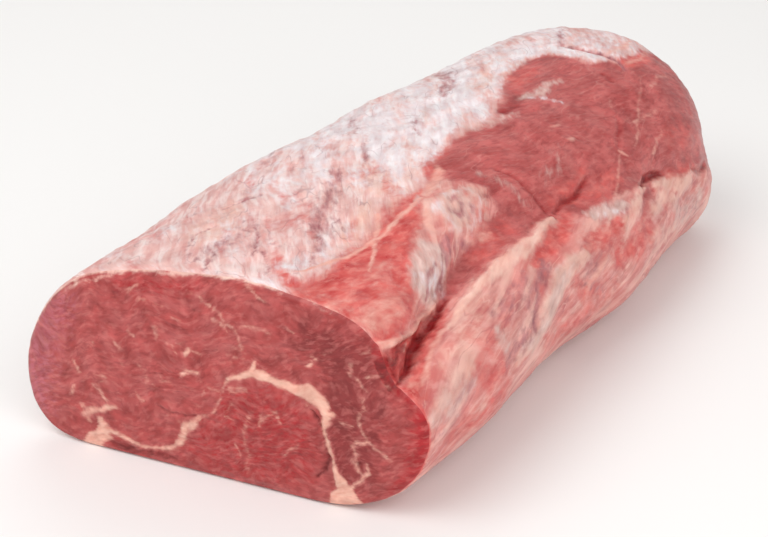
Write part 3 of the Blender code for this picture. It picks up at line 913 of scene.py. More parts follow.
# Fat seams, marbling and creases of the front cut. Places are (across, up) on the cut, in millimetres.
FRONT_CUT_MARKS: tuple[Mark, ...] = (
    # the thick seam over the round muscle
    *streaks_of(
        Tissue.CREAM,
        (
            (
                (5, 49), (10, 51.3), (15, 53.6), (20, 53.4), (26, 51.5), (31, 50.4), (38, 49.6), (42, 48),
                (45, 44.5), (46, 41), (44.6, 35.5), (46, 30), (47.6, 25), (49, 20), (50, 14),
            ),
            (0.5, 0.9, 1.3, 1.7, 1.2, 1.6, 3.3, 3.1, 2.0, 1.2, 0.5, 0.3, 0.3, 0.4, 0.6), 1.5, 1.0, 0.35,
        ),
        (((14.5, 54), (15.5, 58)), (0.9, 0.3), 1.3, 1.0, 0.2),
        (((45, 42), (48.5, 42.5)), (1.2, 0.4), 1.3, 1.0, 0.2),
    ),
    Patch(
        Tissue.CREAM,
        ((49, 20), (51, 17.5), (55.5, 12.5), (57, 10), (60, 5), (51, 1), (46, -3), (47, 4), (49.4, 10)),
        0.8, 1.0, 0.3,
    ),
    # the pale seam down to the left
    Streak(
        Tissue.CREAM,
        (
            (-9, 28), (-12, 25.5), (-16, 21.5), (-19, 17), (-21, 12), (-24, 9.5), (-30, 7.6), (-38, 6.2),
            (-44, 7), (-50, 9), (-55, 11), (-58, 14),
        ),
        (0.2, 0.7, 1.4, 1.2, 0.5, 0.4, 0.3, 0.3, 0.4, 0.5, 0.8, 1.1), 1.6, 0.8, 0.2,
    ),
    Streak(
        Tissue.CREAM, ((6, 50), (2, 45), (0, 38), (-3, 33.5), (-9, 28)),
        (0.6, 0.3, 0.1, 0.1, 0.2), 1.8, 0.4,
    ),
    Patch(
        Tissue.CREAM, ((-58, 15), (-55, 11), (-54, 6), (-58, 2), (-62, -3), (-72, -3), (-66, 5), (-61, 9)),
        1.0, 0.9, 0.2,
    ),
    *streaks_of(
        Tissue.CREAM,
        (((5, 44), (11.5, 45)), (0.5, 0.3), 1.8, 0.5),
        (
            ((-66.5, 15), (-62, 18), (-57, 19.5), (-53, 22), (-51, 23)),
            (0.7, 1.0, 0.8, 1.0, 0.6), 2.2, 0.7, 0.2,
        ),
        (((-64.5, 17.5), (-66.5, 20), (-64, 12.5)), (0.5, 0.4, 0.3), 2.0, 0.55),
        (((-54, 25), (-57, 29), (-60, 31)), (0.4, 0.4, 0.2), 1.9, 0.5),
        (((-69.5, 28), (-71, 23.5)), (0.6, 0.4), 1.5, 0.5),
        (((-68, 40), (-66, 35.5)), (0.6, 0.3), 1.5, 0.5),
    ),
    # thin lines down from the rim
    *streaks_of(
        Tissue.CREAM,
        (((-22, 86.5), (-15, 84), (-8, 81)), (0.3, 0.1, 0.1), 1.8, 0.2),
        (
            ((-8, 81), (0, 77), (4, 73.5), (8, 71), (9, 67), (11, 62)),
            (0.1, 0.15, 0.2, 0.35, 0.3, 0.1), 1.8, 0.42, 0.1,
        ),
        (((8, 71), (12, 73), (18, 74), (22, 73)), (0.3, 0.2, 0.1), 1.7, 0.4),
        (((12, 91), (16, 88), (20, 85)), (0.6, 0.4, 0.2), 1.5, 0.5),
    ),
    # marbling
    *streaks_of(
        Tissue.CREAM,
        (((-28.3, 65), (-28, 60)), (0.4, 0.2), 1.8, 0.4),
        (((-15, 56), (-13.4, 57.6)), (0.8, 0.7), 1.4, 0.8, 0.1),
        (((-17, 45.6), (-14, 47.6), (-10, 48)), (0.6, 0.5, 0.3), 1.6, 0.65),
        (((-47, 54), (-44.5, 51.5)), (0.5, 0.4), 1.8, 0.45),
        (((-39, 33), (-36, 29.5)), (0.4, 0.3), 1.8, 0.4),
        (((-41, 60), (-38, 57.5)), (0.4, 0.2), 1.5, 0.4),
        (((18, 36), (17, 32)), (0.3, 0.3), 1.5, 0.4),
        (((6, 20), (8, 14)), (0.4, 0.3), 1.2, 0.35),
        (((38.5, 62), (40, 64)), (0.5, 0.3), 1.4, 0.6),
        (((40, 66.5), (42, 66)), (0.3, 0.2), 1.4, 0.5),
        (((55.5, 62.4), (56.5, 63.5)), (0.4, 0.2), 1.4, 0.5),
        (((30, 76), (33, 74.5)), (0.3, 0.2), 1.4, 0.4),
    ),
    # the network on the right
    *streaks_of(
        Tissue.CREAM,
        (
            ((60, 46), (60, 41), (61, 38), (63.4, 34.6), (68, 32), (72.5, 28)),
            (0.1, 0.2, 0.2, 0.3, 0.2, 0.1), 1.6, 0.46, 0.1,
        ),
        (
            (
                (63, 34.5), (58.5, 32.5), (57, 30), (59, 27), (58, 24), (59.4, 20), (61.6, 18), (64, 20.5),
                (63, 24),
            ),
            (0.3, 0.3, 0.3, 0.4, 0.5, 0.3, 0.4, 0.3, 0.2), 1.6, 0.55, 0.1,
        ),
        (((61.6, 18), (58.5, 14), (55.5, 11.5)), (0.3, 0.3, 0.6), 1.6, 0.7, 0.1),
        (((60.5, 47), (61.5, 52)), (0.3, 0.2), 1.5, 0.4),
    ),
    # the fat cover's edge along the top
    Streak(
        Tissue.FAT, ((-84, 62), (-78, 68.5), (-60, 77.5), (-42, 85.5), (-30, 88.2), (-18, 87.6), (-10, 91)),
        (0.1, 0.2, 0.3, 0.3, 0.5, 0.5, 0.3), 1.2, 0.6,
    ),
    Streak(
        Tissue.FAT, ((-10, 91.5), (10, 92.6), (22, 91.6), (34, 89.6), (48, 85.8)),
        (0.3, 0.3, 0.2, 0.1, 0.1), 1.2, 0.45,
    ),
    # creases, whose dark red is partly painted shade, and dark spots
    *streaks_of(
        Tissue.DEEP,
        (
            ((39.5, 42.5), (43, 37.5), (45, 32), (46.2, 27), (46.6, 22), (45, 17), (41.5, 12.5)),
            (0.3, 0.6, 0.7, 0.7, 0.8, 0.7, 0.3), 1.2, 0.75, -1.0,
        ),
        (((60, 23.5), (60.4, 21)), (0.9, 0.8), 1.4, 0.8, -0.4),
        (((69, 75), (74, 67), (79, 60)), (0.4, 1.1, 0.5), 1.5, 0.5, -0.8),
        (((-57, 5), (-50, 3.6), (-43, 3.4)), (0.6, 1.6, 1.0), 1.5, 0.7, -0.4),
        (((-41, 2.6), (-34, 3.6), (-27, 4.6), (-22, 5)), (1.0, 1.6, 1.4, 0.6), 1.5, 0.55, -0.3),
        (((-29, 28.5), (-24, 26), (-18, 27), (-11, 28)), (0.5, 0.7, 0.5, 0.3), 1.2, 0.5, -0.4),
        (((29, 75.5), (32, 74.6)), (0.9, 0.6), 1.0, 0.6, -0.3),
        (((-14, 74.5), (-8, 75)), (0.5, 0.4), 1.2, 0.4, -0.2),
        (((18, 85.5), (22, 83.5)), (0.6, 0.5), 1.2, 0.45, -0.2),
        (((-24, 67.5), (-19, 66)), (0.5, 0.4), 1.0, 0.45, -0.2),
        (((-34, 42.5), (-26, 44.5)), (0.4, 0.3), 1.0, 0.5, -0.2),
        (((-32, 34), (-27, 38)), (0.4, 0.3), 1.0, 0.4, -0.2),
    ),
    # the round muscle is brighter, and its edge dark
    Patch(
        Tissue.BLOOD,
        ((2, 44), (12, 49), (28, 48), (38, 44), (42, 30), (40, 8), (-4, 0), (-18, 8), (-8, 26)),
        6.0, 0.45,
    ),
    Streak(Tissue.DEEP, ((-2, 33), (-8, 26), (-14, 19)), (0.3, 0.5, 0.3), 1.6, 0.35),
    *streaks_of(
        Tissue.CREAM,
        (((14, 36), (10, 28), (12, 16), (10, 6)), (0.1, 0.25, 0.1), 2.4, 0.32),
        (((18, 34), (24, 38), (26, 34)), (0.25, 0.3, 0.2), 1.8, 0.4),
        (((28, 20), (34, 26)), (0.25, 0.2), 1.8, 0.35),
    ),
    # tints of the lean, and along the left edge a purplish tint of painted light, where the face turns away
    Streak(Tissue.PURPLE, ((-90, 18), (-87, 38), (-80, 56), (-72, 66)), (4.0, 5.0, 4.0, 2.0), 14.0, 0.7),
    *streaks_of(
        Tissue.BLOOD,
        (((78, 10), (86, 24), (89, 42), (87, 56), (79, 65), (72, 71)), (4.0, 5.0, 5.4, 6.0, 5.0, 4.0), 8.0),
        (((-4, 22), (-10, 16), (-14, 10)), (4.0, 4.0, 2.0), 6.0, 0.45),
        (((-44, 80), (-25, 83), (-8, 85)), (2.5, 3.0, 2.0), 5.0, 0.4),
        (((4, 42), (2, 34), (6, 34)), (1.6, 2.0, 2.0), 3.0, 0.35),
    ),
    Streak(Tissue.LEAN, ((56, 22), (56, 50), (58, 66), (40, 74)), (8.0, 10.0, 9.0, 5.0), 14.0, 0.95),
    Streak(Tissue.LEAN, ((12, 30), (24, 26), (32, 30)), (8.0, 12.0, 8.0), 10.0, 0.45),
) + marbling(3, 30, (-30.0, 52.0), (46.0, 30.0), 0.2) + marbling(5, 9, (50.0, 58.0), (22.0, 18.0), -0.6)

# The back cut, which the photograph doesn't show: the eye of lean, a cap over it and a small side muscle.
BACK_CUT_MARKS: tuple[Mark, ...] = (
    *streaks_of(
        Tissue.CREAM,
        (
            (
                (-46, 80), (-34, 82), (-18, 81), (-6, 83), (6, 80), (18, 80), (32, 75), (44, 68), (52, 58),
                (58, 46), (62, 40),
            ),
            (0.2, 0.5, 0.3, 0.8, 0.5, 0.7, 1.5, 2.3, 1.2, 0.5, 0.3), 1.7, 0.85, 0.3,
        ),
        (((45, 67), (51, 71), (57, 76)), (0.9, 0.6, 0.3), 1.6, 0.7, 0.2),
        (
            (
                (-20, 82), (-14, 73), (-18, 64), (-15, 55), (-22, 44), (-19, 33), (-13, 24), (-18, 12),
                (-27, -2),
            ),
            (0.3, 0.5, 0.3, 0.4, 1.1, 0.7, 0.4, 0.9, 2.6), 1.7, 0.75, 0.25,
        ),
        (((-21, 45), (-28, 50), (-34, 48), (-42, 54)), (0.5, 0.4, 0.3, 0.1), 1.8, 0.6, 0.1),
        (((-18, 14), (-10, 9), (0, 8), (8, 4)), (0.6, 0.4, 0.3, 0.1), 1.8, 0.5),
        (((62, 41), (55, 30), (52, 20), (46, 10), (44, -2)), (0.3, 0.7, 0.5, 1.0, 2.6), 1.7, 0.8, 0.2),
    ),
    Streak(
        Tissue.FAT, ((-86, 30), (-80, 58), (-64, 76), (-40, 88), (-14, 93), (4, 93)),
        (0.8, 1.8, 2.4, 2.0, 1.6, 0.8), 1.2,
    ),
    Streak(Tissue.DEEP, ((-20, 44), (-22, 34), (-16, 24)), (0.3, 0.7, 0.3), 1.5, 0.5, -0.8),
    Streak(Tissue.DEEP, ((20, 78), (34, 73), (44, 66)), (0.3, 0.7, 0.3), 1.5, 0.45, -0.6),
    Streak(Tissue.PURPLE, ((74, 18), (80, 40), (74, 60)), (4.0, 5.0, 3.0), 9.0, 0.45),
    Streak(Tissue.BLOOD, ((-74, 20), (-70, 40), (-56, 62)), (5.0, 6.0, 4.0), 9.0, 0.5),
    Streak(Tissue.BLOOD, ((20, 12), (34, 24), (44, 40)), (3.0, 5.0, 3.0), 9.0, 0.5),
    Streak(Tissue.LEAN, ((-34, 20), (-34, 44)), (8.0, 10.0), 12.0, 0.5),
) + marbling(7, 36, (16.0, 46.0), (34.0, 30.0), 0.4) + marbling(9, 14, (-40.0, 40.0), (16.0, 26.0), 1.4)


@dataclass(frozen=True)
class Muscle:
    """A muscle that bulges out of a cut face, in millimetres."""

    across: float
    up: float
    half_across: float
    half_up: float
    height: float

    def rise(self, across: Array, up: Array) -> Array:
        """How far the face stands out at each place."""
        return self.height * np.exp(
            -(((across - self.across) / self.half_across) ** 2) - ((up - self.up) / self.half_up) ** 2
        )


@dataclass
class Coat:
    """What a stretch of surface wears: the cover of each tissue, the relief, and the grains' coordinates."""

    cover: dict[Tissue, Array]
    relief: Array
    fat_grain: Array
    lean_grain: Array

    @classmethod
    def marked(cls, marks: Sequence[Mark], x: Array, y: Array) -> Coat:
        """A coat with marks on it and plain grains.

        Args:
            marks: what lies where.
            x: millimetres across, for each point.
            y: millimetres along or up, for each point.

        Returns:
            The coat. Each tissue's cover is the most that any of its marks gives, and the relief their sum.
        """
        plain = np.stack([x, y, np.zeros_like(x)], axis=-1)
        coat = cls({tissue: np.zeros(x.shape) for tissue in Tissue}, np.zeros(x.shape), plain, plain)
        for mark in marks:
            share = mark.cover(x, y)
            coat.cover_at_least(mark.tissue, mark.strength * share)
            coat.relief += mark.rise * share
        return coat

    def cover_at_least(self, tissue: Tissue, share: Array) -> None:
        """Raises a tissue's cover to a share wherever it is less."""
        self.cover[tissue] = np.maximum(self.cover[tissue], share)

    def thin(self, share: Array, *tissues: Tissue) -> None:
        """Takes a share off the cover of some tissues."""
        for tissue in tissues:
            self.cover[tissue] *= 1 - share


@dataclass
class WallCoat:
    """The outside of the roll: the fat cover, the bare lean of the shoulder, the flank and the ribs' side.

    Distances are in millimetres. The grain of the fat leans over to the right by fat_lean_over, and that of
    the flank by flank_lean_over, for each millimetre along. The lean's own grain leans by muscle_lean_over.
    The fat's cover starts between the two fat_start distances behind the front rim, and the other tissues'
    cover between the two skin_start distances, apart from the mouth of the seam, where it starts at the
    rim. The grain is drawn out over rim_fade behind the rim, by rim_stretch in all. A size is a width round
    and a length along.
    """

    seed: int = 23
    waves: Pairs = ((1.3, 15.0), (0.5, 5.0))
    fat_lean_over: float = 0.65
    flank_lean_over: float = 0.25
    muscle_lean_over: float = -0.12
    fat_start: Pair = (0.6, 1.8)
    skin_start: Pair = (0.2, 3.0)
    relief_start: Pair = (-4.0, 10.0)
    seam_mouth: Pair = (78.0, 99.0)
    mouth_fade: float = 4.0
    rim_fade: float = 3.0
    rim_stretch: float = 9.0
    ribs_reach: float = 42.0
    ribs_fade: float = 12.0
    rib_gap: float = 27.0
    fold_size: Pair = (9.0, 40.0)
    strip_size: Pair = (11.0, 60.0)
    fine_size: Pair = (3.2, 14.0)
    fibre_size: Pair = (2.8, 14.0)
    lump_size: Pair = (11.0, 15.0)

    def worn(self, skin: Skin) -> Coat:
        """Works the coat out on the unrolled wall.

        Args:
            skin: where each point of the wall is.

        Returns:
            The coat.
        """
        bend, lump, fold, thread, fibre, patchy = (Noise(self.seed + k) for k in range(6))
        a, y, down = skin.around, skin.along, skin.travelled
        x, z = bend.bent(a, y, (a, down), self.waves)
        marks = (FAT_COVER, BARE_LEAN) + SHOULDER_MARKS + CREASES + FLANK_MARKS + COVER_MARKS
        coat = Coat.marked(marks, x, z)
        self.add_cover_tones(coat, x, down, patchy)
        self.add_left_windows(coat, x, down, patchy)
        ribs = smooth_step(self.ribs_reach + self.ribs_fade, self.ribs_reach - self.ribs_fade, skin.below)
        self.add_ribs(coat, np.sign(a) * skin.below, down, ribs, patchy)
        down = down + self.rim_stretch * (1 - np.exp(-y / self.rim_fade))
        run = np.where(skin.past_seam, self.flank_lean_over, self.fat_lean_over)
        grain = a + run * down + 5.0 * bend.at(a / 40, down / 60)
        coat.fat_grain = np.stack([grain, down, np.zeros_like(a)], axis=-1)
        leaning = a + self.muscle_lean_over * down + 3.0 * bend.at(a / 30 + 9, down / 30)
        coat.lean_grain = np.stack([leaning, down, np.zeros_like(a)], axis=-1)
        fat, lean = coat.cover[Tissue.FAT], np.maximum(coat.cover[Tissue.LEAN], coat.cover[Tissue.BLOOD])
        bare = (1 - fat) * (1 - lean)
        folds = 1.0 - 2.0 * np.abs(fold.rough(grain / self.fold_size[0], down / self.fold_size[1]))
        strips = fold.at(grain / self.strip_size[0] + 5, down / self.strip_size[1])
        fine = thread.rough(grain / self.fine_size[0], down / self.fine_size[1])
        grains = fibre.rough(leaning / self.fibre_size[0], down / self.fibre_size[1])
        lumps = lump.rough(a / self.lump_size[0], down / self.lump_size[1])
        coat.relief += fat * (0.3 * folds + 0.12 * fine + 0.3 * lumps)
        coat.relief += lean * (0.14 * grains + 0.42 * lumps)
        coat.relief += bare * (0.7 * strips + 0.3 * folds + 0.16 * fine + 0.35 * lumps)
        coat.relief *= smooth_step(*self.relief_start, y)
        rough_y = y + 0.8 * bend.at(a / 5, y / 5)
        fatty = smooth_step(*self.fat_start, rough_y)
        left, right = self.seam_mouth
        mouth = smooth_step(left, left + self.mouth_fade, a) * smooth_step(right, right - self.mouth_fade, a)
        skinned = np.maximum(smooth_step(*self.skin_start, rough_y), mouth)
        for tissue, cover in coat.cover.items():
            cover *= fatty if tissue is Tissue.FAT else skinned
        return coat

    def add_cover_tones(self, coat: Coat, x: Array, y: Array, noise: Noise) -> None:
        """Varies the fat cover: milky where thick, down the left side and to the back, and pink where thin.

        Args:
            coat: the coat to change.
            x: millimetres round, bent by noise, for each point.
            y: millimetres along the surface, for each point.
            noise: where the thick and thin places are.
        """
        run = x + self.fat_lean_over * y
        fat = coat.cover[Tissue.FAT]
        far = np.maximum(smooth_step(60.0, 160.0, y), 0.6 * smooth_step(-50.0, -95.0, x))
        thick = np.clip(0.7 * far + 0.55 * noise.rough(run / 15, y / 36), 0.0, 0.9)
        coat.cover_at_least(Tissue.WHITE, fat * thick)
        thin = smooth_step(0.1, 0.9, noise.rough(run / 12 + 30, y / 30)) * (1 - 0.6 * far)
        coat.cover_at_least(Tissue.BLOOD, 0.5 * fat * thin)

    def add_left_windows(self, coat: Coat, x: Array, y: Array, noise: Noise) -> None:
        """Thins the cover low on the left side, so that lean and pink fat show through in streaks.

        Args:
            coat: the coat to change.
            x: millimetres round, bent by noise, for each point.
            y: millimetres along the surface, for each point.
            noise: where the thin places are.
        """
        run = x + self.fat_lean_over * y
        low = smooth_step(-86.0, -128.0, x)
        thin = smooth_step(0.1, 0.6, noise.rough(run / 11, y / 42)) * low
        coat.cover_at_least(Tissue.LEAN, 0.8 * thin)
        coat.thin(0.8 * thin, Tissue.FAT, Tissue.WHITE)
        pink = smooth_step(0.0, 0.7, noise.rough(run / 8 + 50, y / 36))
        coat.cover_at_least(Tissue.BLOOD, 0.45 * pink * low)
        coat.relief -= 0.5 * thin

    def add_ribs(self, coat: Coat, x: Array, y: Array, ribs: Array, noise: Noise) -> None:
        """Marks the underside, where the ribs were drawn out: smooth pale beds with strips of lean between.

        Args:
            coat: the coat to change.
            x: millimetres round from the middle of the underside, for each point.
            y: millimetres along the surface, for each point.
            ribs: how much each point is on the ribs' side, from 0 to 1.
            noise: what bends the beds.
        """
        drift = 9 * noise.at(x / 60, y / 60 + 30) + 3.5 * noise.rough(x / 18, y / 22)
        beat = np.cos(2 * math.pi * (y + drift) / self.rib_gap) + 0.6 * noise.rough(x / 26 + 70, y / 30)
        beds = smooth_step(-0.4, 0.5, beat) * ribs
        between = smooth_step(-0.1, -0.9, beat) * ribs
        coat.thin(0.85 * ribs, Tissue.FAT, Tissue.WHITE)
        coat.cover_at_least(Tissue.CREAM, 0.55 * beds)
        coat.thin(0.6 * ribs, Tissue.LEAN)
        coat.cover_at_least(Tissue.LEAN, 0.85 * between)


@dataclass
class CutCoat:
    """A knife cut across the grain: lean with fat seams, marbling and short dark and pale dashes.

    Tilt is which way the dashes lie. Halo and halo_strength are the softness and the share of strength of
    the pink edges of the fat. Distances are in millimetres.
    """

    marks: tuple[Mark, ...]
    muscles: tuple[Muscle, ...]
    seed: int
    waves: Pairs = ((0.9, 7.0), (0.4, 2.6))
    tilt: float = math.radians(18.0)
    rim_fade: float = 4.0
    halo: float = 3.2
    halo_strength: float = 0.75
    dash_size: Pair = (2.6, 5.0)
    bundle_size: float = 5.5

    def worn(self, across: Array, up: Array, from_rim: Array) -> Coat:
        """Works the coat out on a cut face.

        Args:
            across: millimetres across, for each point.
            up: millimetres up, for each point.
            from_rim: the distance from the rim, for each point.

        Returns:
            The coat.
        """
        bend, dash, bundle = (Noise(self.seed + k) for k in range(3))
        coat = Coat.marked(self.marks + self.halos(), *bend.bent(across, up, (across, up), self.waves))
        grain = self.grain(across, up)
        dashes = dash.rough(grain[..., 0] / self.dash_size[0], grain[..., 1] / self.dash_size[1])
        bundles = bundle.rough(across / self.bundle_size, up / self.bundle_size)
        coat.relief += 0.12 * dashes + 0.16 * bundles
        for muscle in self.muscles:
            coat.relief += muscle.rise(across, up)
        coat.relief *= smooth_step(0.0, self.rim_fade, from_rim)
        return coat

    def grain(self, across: Array, up: Array) -> Array:
        """The grain's own coordinates: across its dashes, along them, and a zero."""
        bend = Noise(self.seed)
        bent = 5.0 * bend.at(across / 26, up / 26 + 9) + 1.4 * bend.at(across / 9, up / 9 + 31)
        along = across * math.cos(self.tilt) + up * math.sin(self.tilt)
        over = up * math.cos(self.tilt) - across * math.sin(self.tilt) + bent
        return np.stack([over, along, np.zeros_like(over)], axis=-1)

    def halos(self) -> tuple[Mark, ...]:
        """A soft pink edge for each seam and fleck of fat, where lean and fat mix."""
        changes = {"tissue": Tissue.THREAD, "soft": self.halo, "rise": 0.0}
        return tuple(
            replace(mark, strength=self.halo_strength * mark.strength, **changes)
            for mark in self.marks
            if mark.tissue is Tissue.CREAM
        )


def linear(colour: str) -> tuple[float, float, float, float]:
    """Turns an sRGB hex colour into linear light.

    Args:
        colour: six hex digits after a number sign.

    Returns:
        Red, green, blue and a full alpha.
    """
    parts = (int(colour[i : i + 2], 16) / 255 for i in (1, 3, 5))
    red, green, blue = (c / 12.92 if c <= 0.04045 else ((c + 0.055) / 1.055) ** 2.4 for c in parts)
    return red, green, blue, 1.0


def add_node(tree: Any, kind: str, settings: dict[str, Any], inputs: dict[Any, Any]) -> bpy.types.Node:
    """Adds one shader node.

    Args:
        tree: the node tree.
        kind: Blender's name for the node's type.
        settings: the node's properties.
        inputs: a value, or the socket to link, for each input's name or number.

    Returns:
        The node.
    """
    node = tree.nodes.new(kind)
    for name, value in settings.items():
        setattr(node, name, value)
    for name, value in inputs.items():
        if isinstance(value, bpy.types.NodeSocket):
            tree.links.new(value, node.inputs[name])
        else:
            node.inputs[name].default_value = value
    return node


class Grain(Enum):
    """Which way a tissue's streaks run. The value names the mesh attribute with their coordinates."""

    FAT = "fat_grain"
    LEAN = "lean_grain"
    CUT = "cut_grain"


@dataclass(frozen=True)
class Layer:
    """One tissue as it lies over what is under it, with two hex colours that its streaks run between.

    Width and length are those of a streak, in millimetres. Ragged says how far noise thins or thickens the
    layer, as a share of its full cover.
    """

    tissue: Tissue | None
    dark: str
    light: str
    grain: Grain
    width: float
    length: float
    ragged: float = 0.7
    roughness: float = 0.42


@dataclass(frozen=True)
class Fleck:
    """Short soft marks of one colour scattered over a tissue, or over all that lies under them.

    Width and length are a mark's own, in millimetres. Level is how high the noise has to be for a mark to
    show, and a higher level gives fewer of them.
    """

    tissue: Tissue | None
    colour: str
    grain: Grain
    width: float
    length: float
    level: float = 0.6
    fade: float = 0.1
    strength: float = 0.6


@dataclass(frozen=True)
class Vein:
    """Thin wandering lines of one colour: vessels in the fat, and threads of membrane on the muscle.

    Width and length are those of the meshes that the lines run round, in millimetres. Thin is the line's
    half width as a share of the noise's range, and a higher level breaks the lines up more.
    """

    tissue: Tissue | None
    colour: str
    grain: Grain
    width: float
    length: float
    thin: float = 0.02
    level: float = 0.5
    strength: float = 0.6


@dataclass(frozen=True)
class RawBeef:
    """Raw beef, trimmed with a knife and moist: a thin film of juice over fat, silverskin and muscle.

    The stack is laid from the bottom up, and its first layer has no tissue, because it covers everything.
    Sizes are in millimetres. Streak_range is the part of the noise's range over which a streak goes from
    dark to light, and gloss_range how much rougher or smoother a streak is than its layer. Least_cover_gain
    keeps a layer off the places where its tissue has next to no cover.

    Each kind of noise is read at a start of its own, and a step further on for each next layer of the
    stack.
    """

    STREAK_STEP = 13.7
    TEAR_START, TEAR_STEP = 31.0, 7.9
    MARK_START, MARK_STEP = 57.0, 11.3
    PATCH_START, PATCH_STEP = 23.0, 5.3
    MOTTLE_START = 71.0
    BUMP_START = 5.0

    name: str
    stack: tuple[Layer | Fleck | Vein, ...]
    streak_range: Pair = (0.28, 0.72)
    streak_roughness: float = 0.52
    gloss_range: float = 0.07
    least_cover_gain: float = 5.0
    tear_size: float = 3.6
    vein_patch: float = 16.0
    vein_patch_fade: float = 0.08
    bump_grain: Grain = Grain.LEAN
    bump_width: float = 0.9
    bump_length: float = 4.0
    bump_height: float = 0.14
    mottle_size: float = 11.0
    mottle: float = 0.08
    index_of_refraction: float = 1.4
    specular: float = 0.34
    film: float = 0.07
    film_roughness: float = 0.24
    glow: float = 0.06
    glow_depth: float = 1.2
    glow_reach: tuple[float, float, float] = (1.0, 0.35, 0.25)

    def made(self) -> bpy.types.Material:
        """Builds the material."""
        material = bpy.data.materials.new(self.name)
        material.use_nodes = True
        tree = material.node_tree
        tree.nodes.clear()
        colour, roughness = None, None
        for number, layer in enumerate(self.stack):
            if isinstance(layer, Layer):
                colour, roughness = self.laid_on(tree, layer, number, colour, roughness)
            elif isinstance(layer, Vein):
                colour = self.marked(tree, layer, self.lines(tree, layer, number), colour)
            else:
                colour = self.marked(tree, layer, self.spots(tree, layer, number), colour)
        colour = self.mottled(tree, colour)
        shader = add_node(tree, "ShaderNodeBsdfPrincipled", {"subsurface_method": "RANDOM_WALK"}, {
            "Base Color": colour,
            "Roughness": roughness,
            "IOR": self.index_of_refraction,
            "Specular IOR Level": self.specular,
            "Coat Weight": self.film,
            "Coat Roughness": self.film_roughness,
            "Subsurface Weight": self.glow,
            "Subsurface Radius": self.glow_reach,
            "Subsurface Scale": self.glow_depth * MM,
            "Normal": self.bumped(tree),
        })
        add_node(tree, "ShaderNodeOutputMaterial", {}, {"Surface": shader.outputs["BSDF"]})
        return material

    def streaks(
        self, tree: Any, grain: Grain, width: float, length: float, shift: float, detail: float
    ) -> Any:
        """Noise that is drawn out along a grain.

        Args:
            tree: the node tree.
            grain: which grain.
            width: millimetres across a streak.
            length: millimetres along it.
            shift: moves the pattern, so that layers differ.
            detail: octaves of noise.

        Returns:
            A socket with the noise, from 0 to 1.
        """
        place = add_node(tree, "ShaderNodeAttribute", {"attribute_name": grain.value}, {})
        scaled = add_node(tree, "ShaderNodeMapping", {}, {
            "Vector": place.outputs["Vector"],
            "Location": (shift, shift / 2, shift),
            "Scale": (1 / width, 1 / length, 1.0),
        })
        noise = add_node(tree, "ShaderNodeTexNoise", {"noise_dimensions": "2D"}, {
            "Vector": scaled.outputs[0],
            "Scale": 1.0,
            "Detail": detail,
            "Roughness": self.streak_roughness,
        })
        return noise.outputs["Fac"]

    def laid_on(self, tree: Any, layer: Layer, number: int, colour: Any, roughness: Any) -> tuple[Any, Any]:
        """Lays a layer over those before it.

        Args:
            tree: the node tree.
            layer: the layer.
            number: its place in the stack.
            colour: the colour so far, or None.
            roughness: the roughness so far, or None.

        Returns:
            The sockets of the new colour and roughness.
        """
        streak = self.streaks(tree, layer.grain, layer.width, layer.length, self.STREAK_STEP * number, 5.0)
        low, high = self.streak_range
        share = add_node(tree, "ShaderNodeMapRange", {}, {"Value": streak, "From Min": low, "From Max": high})
        own = add_node(tree, "ShaderNodeMix", {"data_type": "RGBA"}, {
            0: share.outputs[0], 6: linear(layer.dark), 7: linear(layer.light),
        })
        gloss = add_node(tree, "ShaderNodeMapRange", {}, {
            "Value": share.outputs[0],
            "To Min": layer.roughness - self.gloss_range,
            "To Max": layer.roughness + self.gloss_range,
        })
        if colour is None:
            return own.outputs[2], gloss.outputs[0]
        cover = add_node(tree, "ShaderNodeAttribute", {"attribute_name": layer.tissue.value}, {})
        shift = self.TEAR_START + self.TEAR_STEP * number
        tear = self.streaks(tree, layer.grain, self.tear_size, self.tear_size * 1.8, shift, 4.0)
        moved = add_node(tree, "ShaderNodeMath", {"operation": "MULTIPLY_ADD"}, {
            0: tear, 1: 2 * layer.ragged, 2: cover.outputs["Fac"],
        })
        over = add_node(tree, "ShaderNodeMapRange", {"interpolation_type": "SMOOTHSTEP"}, {
            "Value": moved.outputs[0], "From Min": layer.ragged, "From Max": 1.0 + layer.ragged,
        })
        some = add_node(tree, "ShaderNodeMath", {"operation": "MULTIPLY", "use_clamp": True}, {
            0: cover.outputs["Fac"], 1: self.least_cover_gain,
        })
        held = add_node(tree, "ShaderNodeMath", {"operation": "MULTIPLY"}, {
            0: over.outputs[0], 1: some.outputs[0],
        })
        mixed = add_node(tree, "ShaderNodeMix", {"data_type": "RGBA"}, {
            0: held.outputs[0], 6: colour, 7: own.outputs[2],
        })
        rough = add_node(tree, "ShaderNodeMix", {"data_type": "FLOAT"}, {
            0: held.outputs[0], 2: roughness, 3: gloss.outputs[0],
        })
        return mixed.outputs[2], rough.outputs[0]

    def spots(self, tree: Any, fleck: Fleck, number: int) -> Any:
        """How much of each fleck shows.

        Args:
            tree: the node tree.
            fleck: the flecks.
            number: their place in the stack.

        Returns:
            A socket with the share, from 0 to the flecks' strength.
        """
        shift = self.MARK_START + self.MARK_STEP * number
        noise = self.streaks(tree, fleck.grain, fleck.width, fleck.length, shift, 3.0)
        shown = add_node(tree, "ShaderNodeMapRange", {"interpolation_type": "SMOOTHSTEP"}, {
            "Value": noise,
            "From Min": fleck.level - fleck.fade,
            "From Max": fleck.level + fleck.fade,
            "To Max": fleck.strength,
        })
        return shown.outputs[0]

